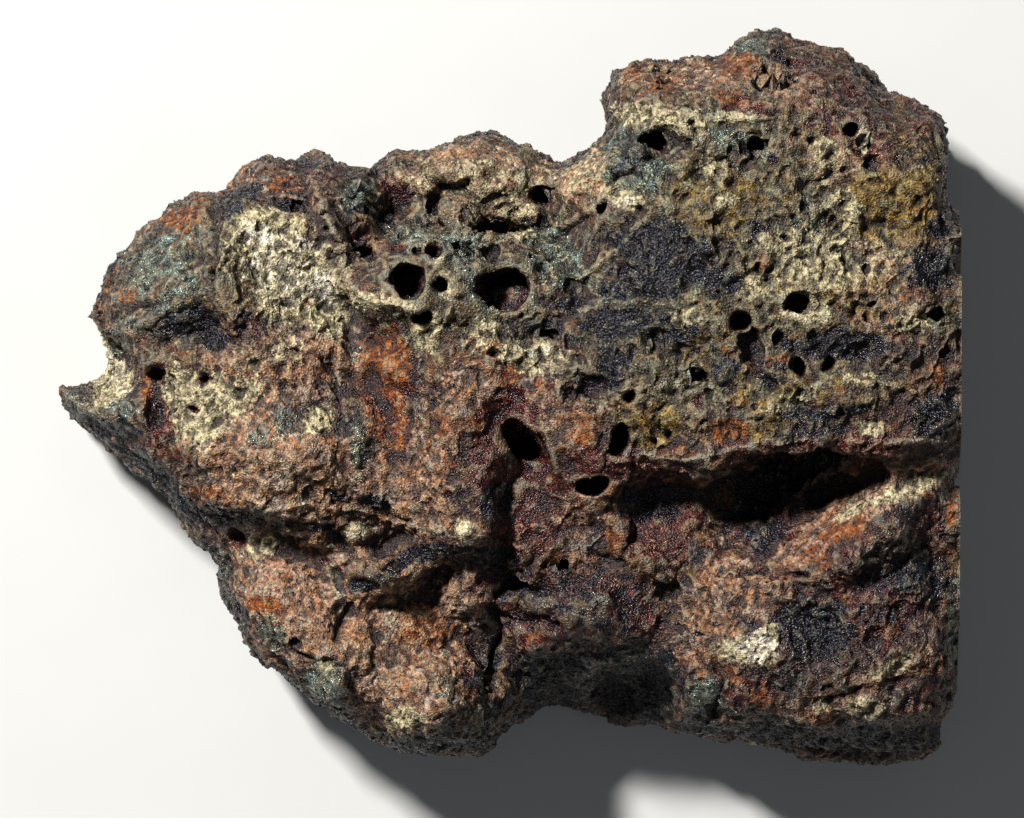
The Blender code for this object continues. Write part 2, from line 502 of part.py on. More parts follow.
def saw_cutter(name, low, high):
    """A block that stands for all that the saw takes off one side."""
    shape = bmesh.new()
    size = Vector(high) - Vector(low)
    place = Matrix.LocRotScale((Vector(low) + size / 2) * MM, None, size * MM)
    bmesh.ops.create_cube(shape, size=1.0, matrix=place)
    return add_cutter(name, shape)


def cut(obj, name, cutter):
    tool = obj.modifiers.new(name, "BOOLEAN")
    tool.operation = "DIFFERENCE"
    tool.solver = "EXACT"
    tool.object = cutter


def thin_out(obj, most):
    """Fewer, larger triangles where the surface is plain."""
    obj.data.calc_loop_triangles()
    thin = obj.modifiers.new("thin_out", "DECIMATE")
    thin.ratio = min(1.0, most / len(obj.data.loop_triangles))
    apply_modifiers(obj)


def centre(obj):
    """Puts the origin in the middle of the back's bounding rectangle."""
    points = points_of(obj.data)
    middle = (points.min(axis=0) + points.max(axis=0)) / 2
    middle[2] = 0.0
    move_points(obj.data, points - middle)


def meteorite_material():
    material = bpy.data.materials.new("weathered_iron")
    material.use_nodes = True
    skin = material.node_tree.nodes["Principled BSDF"]
    skin.inputs["Base Color"].default_value = (0.085, 0.058, 0.042, 1.0)
    skin.inputs["Metallic"].default_value = 0.25
    skin.inputs["Roughness"].default_value = 0.7
    return material


def clear_scene():
    for obj in list(bpy.data.objects):
        bpy.data.objects.remove(obj)


def saw(stone):
    """Takes off the back and the right side, then opens the bubbles they met."""
    back_low, back_high = (-SAW_REACH, -SAW_REACH, -SAW_REACH), (SAW_REACH, SAW_REACH, 0.0)
    side_low, side_high = (SAWN_SIDE_X, -SAW_REACH, -SAW_REACH), (SAW_REACH, SAW_REACH, SAW_REACH)
    cut(stone, "sawn_back", saw_cutter("back_saw", back_low, back_high))
    cut(stone, "sawn_side", saw_cutter("side_saw", side_low, side_high))
    cut(stone, "sawn_bubbles", egg_cutter("sawn_bubble_cutters", SAWN_BUBBLES))
    apply_modifiers(stone)


def build():
    clear_scene()
    rim = smooth_outline()
    stone = blank(rim)
    shape_masses(stone, rim)
    cut(stone, "pockets", egg_cutter("pocket_cutters", POCKETS, TOOL_VOXEL))
    remesh(stone, FINE_VOXEL, smoothing=2)
    largest_piece(stone)
    roughen(stone)
    thin_out(stone, TRIANGLES_BEFORE_SAWING)
    cut(stone, "bubbles", egg_cutter("bubble_cutters", BUBBLES + WALL_BUBBLES))
    saw(stone)
    centre(stone)
    stone.data.materials.clear()
    stone.data.materials.append(meteorite_material())


build()
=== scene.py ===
import math
from collections import namedtuple

import bpy
import numpy as np
from mathutils import Matrix, Vector


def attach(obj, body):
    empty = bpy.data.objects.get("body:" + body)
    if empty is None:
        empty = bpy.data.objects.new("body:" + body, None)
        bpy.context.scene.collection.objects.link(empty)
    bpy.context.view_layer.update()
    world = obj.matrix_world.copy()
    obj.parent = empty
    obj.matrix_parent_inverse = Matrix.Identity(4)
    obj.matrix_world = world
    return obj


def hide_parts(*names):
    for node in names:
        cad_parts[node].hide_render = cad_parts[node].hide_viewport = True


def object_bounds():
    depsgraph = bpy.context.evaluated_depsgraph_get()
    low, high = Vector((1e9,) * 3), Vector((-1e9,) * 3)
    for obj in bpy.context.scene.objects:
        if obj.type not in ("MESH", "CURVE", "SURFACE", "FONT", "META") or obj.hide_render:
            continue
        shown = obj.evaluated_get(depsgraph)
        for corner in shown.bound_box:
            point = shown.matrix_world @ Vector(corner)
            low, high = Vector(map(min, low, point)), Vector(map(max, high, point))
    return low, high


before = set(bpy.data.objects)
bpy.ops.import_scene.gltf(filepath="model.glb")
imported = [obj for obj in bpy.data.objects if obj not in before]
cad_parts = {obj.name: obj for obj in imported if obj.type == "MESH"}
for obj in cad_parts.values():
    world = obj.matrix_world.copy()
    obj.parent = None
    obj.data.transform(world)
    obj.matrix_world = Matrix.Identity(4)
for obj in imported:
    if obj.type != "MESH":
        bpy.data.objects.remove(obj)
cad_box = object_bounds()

MM = 0.001
LOW, HIGH = (np.array(corner) / MM for corner in cad_box)
SIDE = HIGH[0]  # the plane of the sawn side
ON_PLANE = 1e-4  # what is nearer to a sawn plane than this lies on it
SNAP = 0.06  # and after the thinning of the mesh, what is nearer than this is put on it
SAW_ALLOWANCE = 1.5  # left past each sawn plane until the saw cuts
SOFT_VOXEL = 0.45
FINE_VOXEL = 0.26
PIT_VOXEL = 0.12
FACET_PASSES = 14  # of smoothing, which round the solid's facets away
STONE_TRIANGLES = 194000
CRYSTAL = 0.30  # width of a loose crystal
CRYSTAL_TRIANGLES = 190000  # in all the loose crystals together
SMOOTH_ANGLE = 48  # edges sharper than this stay sharp

# Ovals are given by their middle, two half-widths and a turn. These are the bubbles of the solid that
# keep their sharp mouths.
Mouth = namedtuple("Mouth", "x y across high turn", defaults=(0,))
MOUTHS = [Mouth(*row) for row in (
    (-11, 12.6, 2.2, 1.9), (-0.4, 11.8, 3.2, 2.5), (-7.1, 12.4, 1.1, 1.1), (-8.4, 15.9, 1.1, 1),
    (-12.3, 16.2, 1.1, 0.8), (-9.2, 8.7, 1.2, 0.9), (0.8, -4, 1.8, 2.2), (3.4, -7.4, 1.8, 2.2),
    (9.4, -10, 2.1, 0.9), (12.3, -4.8, 1.1, 1.9), (-1.5, -25.8, 0.7, 4.2), (25.4, 8.2, 1.3, 1.3),
    (37.6, 29.2, 1.1, 1.3), (16.4, 28.1, 1.4, 1.2), (32, 3.4, 0.7, 1.2), (35.3, 3.4, 0.9, 1),
    (13.6, -0.2, 0.9, 0.9), (29.2, 26.3, 0.8, 1), (21, -0.5, 0.6, 1.3), (31.8, 10.2, 1.6, 1.3),
    (10.7, 20.8, 1.4, 1), (-38.8, 2.5, 1.3, 1.4), (-33.2, 2.1, 1, 0.8), (-34.6, -1.5, 0.8, 0.7),
    (-29.6, -15.7, 1.3, 1.3), (-20.2, -18.2, 1, 0.6),
)]

# Small gas pits, cut down into the natural face wherever it lies.
Pit = namedtuple("Pit", "x y across high deep turn", defaults=(0,))
PITS = [Pit(*row) for row in (
    # Among the large bubbles of the middle band.
    (-10.2, 16.2, 0.78, 0.78, 1.6), (-11.6, 18.1, 0.44, 0.44, 1), (-5.1, 17, 1.11, 1, 1),
    (-1.7, 16.2, 1, 0.89, 1.4), (-15.7, 16.2, 0.56, 1.33, 1.6), (-15.4, 20.7, 0.89, 0.78, 1.5),
    (-16.6, 20.9, 0.33, 0.33, 0.8), (-13.4, 19.8, 0.44, 0.56, 1), (3.6, 16.6, 0.44, 0.44, 1),
    (2.8, 15.4, 0.44, 0.44, 1), (4.3, 17.9, 0.33, 0.33, 0.8), (4.2, 14.6, 0.44, 0.44, 1),
    (4.7, 13.9, 0.33, 0.33, 0.8), (9.9, 17.3, 0.39, 0.39, 1), (10.9, 11.2, 0.33, 0.39, 0.9),
    (1.8, 9.3, 0.44, 0.44, 0.9), (4.4, 7.1, 1, 0.44, 1.2, -5), (9.3, 8.1, 0.44, 0.44, 0.9),
    (-1.4, 4.6, 0.67, 0.56, 1.2), (7.1, 12.1, 0.89, 0.78, 0.5), (-5.6, 3.3, 0.33, 0.33, 0.8),
    (-3.7, 0.3, 0.39, 0.33, 0.8),
    # The left lobe and below it.
    (-20.3, 20.1, 0.33, 0.33, 0.7), (-19.8, 18.4, 0.33, 0.33, 0.7), (-18.9, 16, 0.33, 0.67, 1),
    (-23.3, 21, 0.78, 0.56, 1.3, 10), (-19.3, 4.6, 0.78, 0.39, 1, 15), (-23.6, 0.6, 0.33, 0.56, 0.9),
    (-23.2, -9.7, 0.33, 0.56, 0.9), (-32.3, -1.6, 0.33, 0.33, 0.7), (-27.9, 3, 0.67, 0.56, 0.6),
    (-32.9, 6.2, 0.44, 0.33, 0.7), (-29.4, 8.9, 0.44, 0.44, 0.8), (-23.4, -27.1, 0.39, 0.56, 1.2),
    (-19.3, -34.3, 0.56, 0.44, 1), (6.6, -18.8, 0.56, 0.44, 1.1, 20),
    # The prow and the slab.
    (12.4, 27.7, 0.33, 0.67, 1), (15.2, 28.2, 0.89, 0.78, 0.8), (15.4, 30.1, 0.44, 0.33, 0.7),
    (20.2, 30.3, 0.44, 0.44, 0.8), (18.2, 29.3, 0.44, 0.33, 0.7), (25.4, 28.2, 0.39, 0.39, 1),
    (26, 27.1, 0.44, 0.44, 0.6), (27.4, 27.6, 0.39, 1.67, 1.6, 3), (17.7, 36.3, 0.56, 0.44, 1.2),
    (20, 32.1, 0.44, 0.44, 0.8), (29.3, 36.1, 0.56, 0.33, 1), (33.2, 28.3, 0.5, 0.5, 1),
    (32.1, 25.9, 0.33, 0.5, 0.9), (33.6, 25.3, 0.33, 0.33, 0.8), (36.9, 24.7, 0.33, 0.33, 0.8),
    (39, 28.2, 0.56, 0.44, 0.7), (40.1, 25.7, 0.78, 0.78, 0.5), (35.8, 19.6, 0.56, 0.44, 0.8),
    (29.8, 6.6, 0.56, 0.56, 1.2), (47.1, 9, 0.89, 1, 1.6), (48.1, 4.9, 0.33, 0.67, 1.3),
    (40.1, 10.1, 0.44, 0.44, 0.9), (39.6, 8.7, 0.44, 0.44, 0.9), (41.8, 9, 0.44, 0.44, 0.9),
    (39.7, 14, 0.44, 0.44, 0.8), (41.6, 4, 0.44, 0.33, 0.8), (25, 12.7, 0.44, 0.44, 0.7),
    (21, 2.3, 0.44, 0.56, 1.6), (12.4, 0.3, 0.33, 0.33, 0.8), (7, 0.6, 0.56, 0.44, 0.9),
    (9, -1.1, 0.44, 0.44, 0.9), (6.9, 1.6, 0.33, 0.33, 0.8), (16, 5.7, 0.56, 0.56, 0.8),
    (16.3, -4.8, 0.5, 0.5, 1.2), (17.7, -4.3, 0.44, 0.44, 1.1), (16, -2.8, 0.33, 0.33, 0.8),
    (17.2, -7.2, 0.33, 0.33, 0.9),
)]

# Cracks (negative height) and thin raised webs (positive), drawn down onto the natural face. Their
# heights are times these strengths.
CRACK_STRENGTH = 1.5
WEB_STRENGTH = 0.9
Line = namedtuple("Line", "height width points")
LINES = [Line(*row) for row in (
    # Cracks of the prow and along the middle band.
    (-1.1, 0.38, [(21.3, 29.4), (19.8, 28.2), (17.8, 27.9), (15.5, 26.4), (13.4, 25), (11.3, 24.3)]),
    (-0.8, 0.35, [(9.3, 20.1), (7, 18.9), (5.6, 18)]), (-0.6, 0.3, [(20.8, 27.6), (24.9, 25.7)]),
    (-0.6, 0.35, [(-8.4, -4.3), (-7.3, -2.6)]),
    # Cracks round the block and on the lower right.
    (-1.4, 0.5, [(6.4, -18.6), (3, -18.9), (-0.2, -20.9), (-1.6, -23.5), (-1, -26.3), (-1.7, -31.4)]),
    (-0.8, 0.35, [(-0.4, -24.9), (2.4, -24.8), (5.5, -25.6)]),
    (-0.8, 0.4, [(-3.4, -27.9), (-2.4, -30), (-1.7, -32.5)]),
    (-0.7, 0.35, [(25.9, -19.4), (29.2, -18.9), (33, -19.8)]),
    (-0.9, 0.4, [(33, -34.2), (37.3, -33), (40.7, -31.4), (45.5, -31)]),
    (-0.8, 0.45, [(21, -28.6), (23.4, -31.4), (23, -35)]),
    (-0.8, 0.45, [(14, -7.8), (13.2, -11.5), (14.5, -14.5), (13, -17)]),
    # The rust plate's outline and the grey ridge on its left.
    (-0.2, 0.45, [(-11.8, 9.4), (-17.1, 8.6), (-17.4, 4.7), (-16.7, -1.3), (-15.2, -5.5), (-14.9, -8.9)]),
    (-0.4, 0.4, [(-11.8, 9.4), (-10.4, 6), (-10.3, 1), (-11, -4.5)]),
    (0.5, 0.6, [(-18.4, 8.2), (-18.6, 4), (-18, -1.3), (-16.5, -5.5), (-16.1, -9)]),
    # Creases of the left lobe and of the body below it.
    (-0.7, 0.4, [(-31.6, 23), (-31.9, 17.6), (-32.6, 12.6)]),
    (-0.7, 0.45, [(-30.6, 20.8), (-29.4, 22.9), (-26.6, 21.9), (-23, 21.2), (-20.2, 19.2)]),
    (-0.5, 0.35, [(-46, 12), (-42.2, 13), (-40.6, 16.4), (-38.2, 19)]),
    (-0.5, 0.35, [(-43.8, 8.6), (-41.4, 10.2), (-38, 10.4)]),
    (-0.6, 0.4, [(-24.2, 5.2), (-20.4, 4.4), (-19.4, 2.6)]),
    (-0.9, 0.5, [(-19.4, -14.6), (-17, -17.6), (-19.2, -20), (-17.6, -23.6), (-18.8, -26.4)]),
    (-0.8, 0.45, [(-34.8, -13.2), (-30, -13.4), (-26.2, -14.6), (-21.4, -14.2)]),
    (0.7, 0.55, [(-26.8, -12.6), (-22.6, -11.8), (-17, -12.2), (-12, -13.6), (-7, -14.8)]),
    (-0.7, 0.45, [(-24.6, -27.6), (-21.6, -29.4), (-17.6, -29.2), (-17, -33)]),
    # Webs of the left lobe's right side and of the middle band.
    (0.9, 0.45, [(-21.1, 22.9), (-19.9, 19.9), (-18.3, 16.5), (-17.8, 13), (-15.2, 10.6), (-9.7, 9.6)]),
    (0.7, 0.4, [(-16.8, 23.8), (-14.4, 22.4), (-16, 19), (-13.6, 14.8), (-11.8, 10.4)]),
    (0.7, 0.4, [(-10.5, 17.4), (-5, 17.9), (0.3, 17.2), (3.9, 18), (9.4, 21), (12.4, 23.6)]),
    (0.7, 0.4, [(-13.4, 19), (-10.2, 18.6), (-8.6, 17.2)]),
    (0.8, 0.4, [(-5.8, 14.6), (-5.4, 11.4), (-6.8, 8.2), (-8.4, 6.2)]),
    (0.6, 0.4, [(3.8, 15.8), (5.6, 12.6), (3.4, 9.6), (0.6, 8), (-2.6, 7.8)]),
    (0.5, 0.4, [(11.2, 10.4), (7.8, 9.2), (3.4, 9.6)]),
    (0.7, 0.45, [(15.8, 20.2), (12.1, 16.2), (8.1, 13)]),
    (0.7, 0.45, [(16.6, 23.8), (17.4, 20.4), (20, 18.6)]),
    # Edges of the slab, the spur and the pocket.
    (0.8, 0.5, [(11.3, 32), (16.1, 32.5), (19, 31.6), (21.3, 30.4), (25.3, 30.7), (28.1, 30.5)]),
    (0.6, 0.4, [(-49.4, 0.6), (-46.8, -1.2), (-43.5, -2.6), (-41.6, -3.6)]),
    (0.7, 0.45, [(15, -6.2), (20, -6.9), (26, -5.4), (33, -4.6), (42, -4.9), (49.6, -4.6)]),
    (0.5, 0.4, [(22.1, -6.6), (22.4, -9.2)]), (0.5, 0.4, [(29, 3), (33, 1.2), (39, 1.8), (45, 0.6)]),
    (0.6, 0.4, [(30.2, 11.6), (30.8, 8.8), (33.4, 8.2), (35.4, 9.6)]),
    (0.5, 0.4, [(25, 14), (30, 15.6), (33, 19), (37, 22.6)]),
)]

# Small swells (positive height) and hollows (negative) on the natural face.
Swell = namedtuple("Swell", "x y across high height turn", defaults=(0,))
SWELLS = [Swell(*row) for row in (
    (-5.2, 20.4, 2.2, 2.1, 1.9), (-7.9, 21.9, 1, 2.6, -0.9, -15), (-5.6, 23.3, 2.4, 0.8, -1, 10),
    (-7.2, 24.9, 2.6, 0.9, 1.2, 15), (1.9, 23.6, 0.8, 2.6, 0.9, 10), (3.9, 22.4, 1.5, 1, -1.8, 15),
    (-12.5, 24.4, 2, 1.4, 0.9), (-1.5, 24.4, 1.4, 1.4, -0.7), (28.3, 16.8, 1.2, 1.6, 0.9),
    (28, 14.9, 0.9, 0.9, 0.6), (37.8, 19.4, 1, 1.5, 0.8), (-16.6, -15.2, 1.8, 1.2, 0.7),
    (-3.7, -15.1, 2, 1.5, 0.9), (-15.8, -19.2, 3.4, 1.1, 1, -10), (29.3, 35.5, 3, 2, -2),
    (29.5, 36.3, 1.1, 0.6, -1.2), (17.3, 36, 1, 2.2, -1.1), (21.8, 25, 2.5, 2.4, -1.3),
    (22.1, 24.9, 1, 1, 0.5), (23.9, 16.2, 1.4, 1.2, -0.6), (16.2, 5.8, 1.8, 1.5, -0.9),
    (19.8, 9.6, 1.8, 1.4, -0.6), (32.7, 10.2, 2, 1.6, -0.9), (40.1, 25.7, 1.4, 1.4, -0.8),
    (39.2, 28, 1.6, 1.3, -0.6), (27.2, 27.4, 0.8, 2, -1), (20.8, 2.2, 0.9, 1.3, -1.2),
    (46.6, 9.2, 1.4, 1.4, -0.8), (26.8, 5.4, 1.2, 2.4, -1.4, 10), (-38.6, -1.6, 1.4, 3.4, -0.6, 5),
    (-35.9, 8, 3.6, 1.4, 0.6, 18), (3.4, 6.9, 3, 1.1, -0.9, 8), (9.6, 1.4, 1.8, 1.1, -0.7, 15),
    (-15.9, 16.8, 1.1, 2, -1.3), (-13.2, 20.6, 1, 0.8, -0.9), (-4.8, 16.2, 1.4, 0.9, -0.8),
    (-3.5, 2.4, 1.4, 1.3, -0.6), (-26.2, 26, 1.6, 1.2, 0.6), (-22, 22.6, 1.2, 0.8, -0.7),
    (12, -15.4, 2.4, 2.6, 0.4), (2.6, -22.6, 3.4, 1.6, 0.8, -10), (9.6, -23.4, 3, 2.2, 0.7),
    (-12, -31, 3, 1.6, 0.7), (-20, -31.6, 2.4, 2.2, 0.6), (-33, 18.6, 1, 2.6, 0.5),
)]

# Hollows of the solid that are partly silted up, and how high the silt stands in them.
Fill = namedtuple("Fill", "x y across high level turn", defaults=(0,))
FILLS = [Fill(*row) for row in (
    (-0.8, 21.9, 3.8, 1.7, 15.6), (1, 19.4, 4.8, 1.5, 12.6), (2.8, 20.9, 3.2, 1.9, 15.4),
    (0.3, 10.6, 3.2, 2, 25.8), (-8.9, 20.2, 2.3, 2, 13.6), (-1.6, 20.7, 2.6, 1.6, 15.4),
    (-5.2, 20.4, 1.9, 1.8, 15.4), (2.2, -13, 4.2, 6.4, 25.4), (4.6, -17, 6, 4.2, 24.8),
    (9.5, -14.5, 4.5, 4, 24.6),
)]

# A row of a ground or a finish is a patch, which is a soft oval, or where it has three items a stroke,
# which is a soft band along a line. The amount is from 0 to 1.
Patch = namedtuple("Patch", "x y across high amount turn", defaults=(0,))
Stroke = namedtuple("Stroke", "width amount points")

# Where the skin is pocked with small cups, and where it is smooth.
GROUND = {
    "pocked": [
        (29, 20, 19, 9, 1), (28, 6, 22, 9, 0.9), (17, 28, 6, 4, 0.8), (-5, 16, 11, 3.5, 0.8),
        (-33, 0, 6, 5, 0.6), (6, 6, 8, 6, 0.7), (-17, 20, 5, 5, 0.6), (24, -24, 7, 6, 0.5),
        (38, -31, 8, 4, 0.5, 10),
    ],
    "smooth": [
        (-5, 25, 11, 5, 0.6), (8, 25, 5, 5, 0.8), (-13.8, 0.5, 3.6, 8.5, 0.7), (-25, -4, 6, 4, 0.7),
        (-39, 14, 6, 6, 0.4, 45), (39, -12, 11, 4, 0.8, 25), (3, -9, 8, 8, 0.7), (8, -22, 10, 6, 0.6),
        (22, -12, 10, 5, 0.9), (-22, -22, 8, 8, 0.4), (14, -33, 8, 5, 0.6), (-44, -4, 5, 3, 0.5),
    ],
}

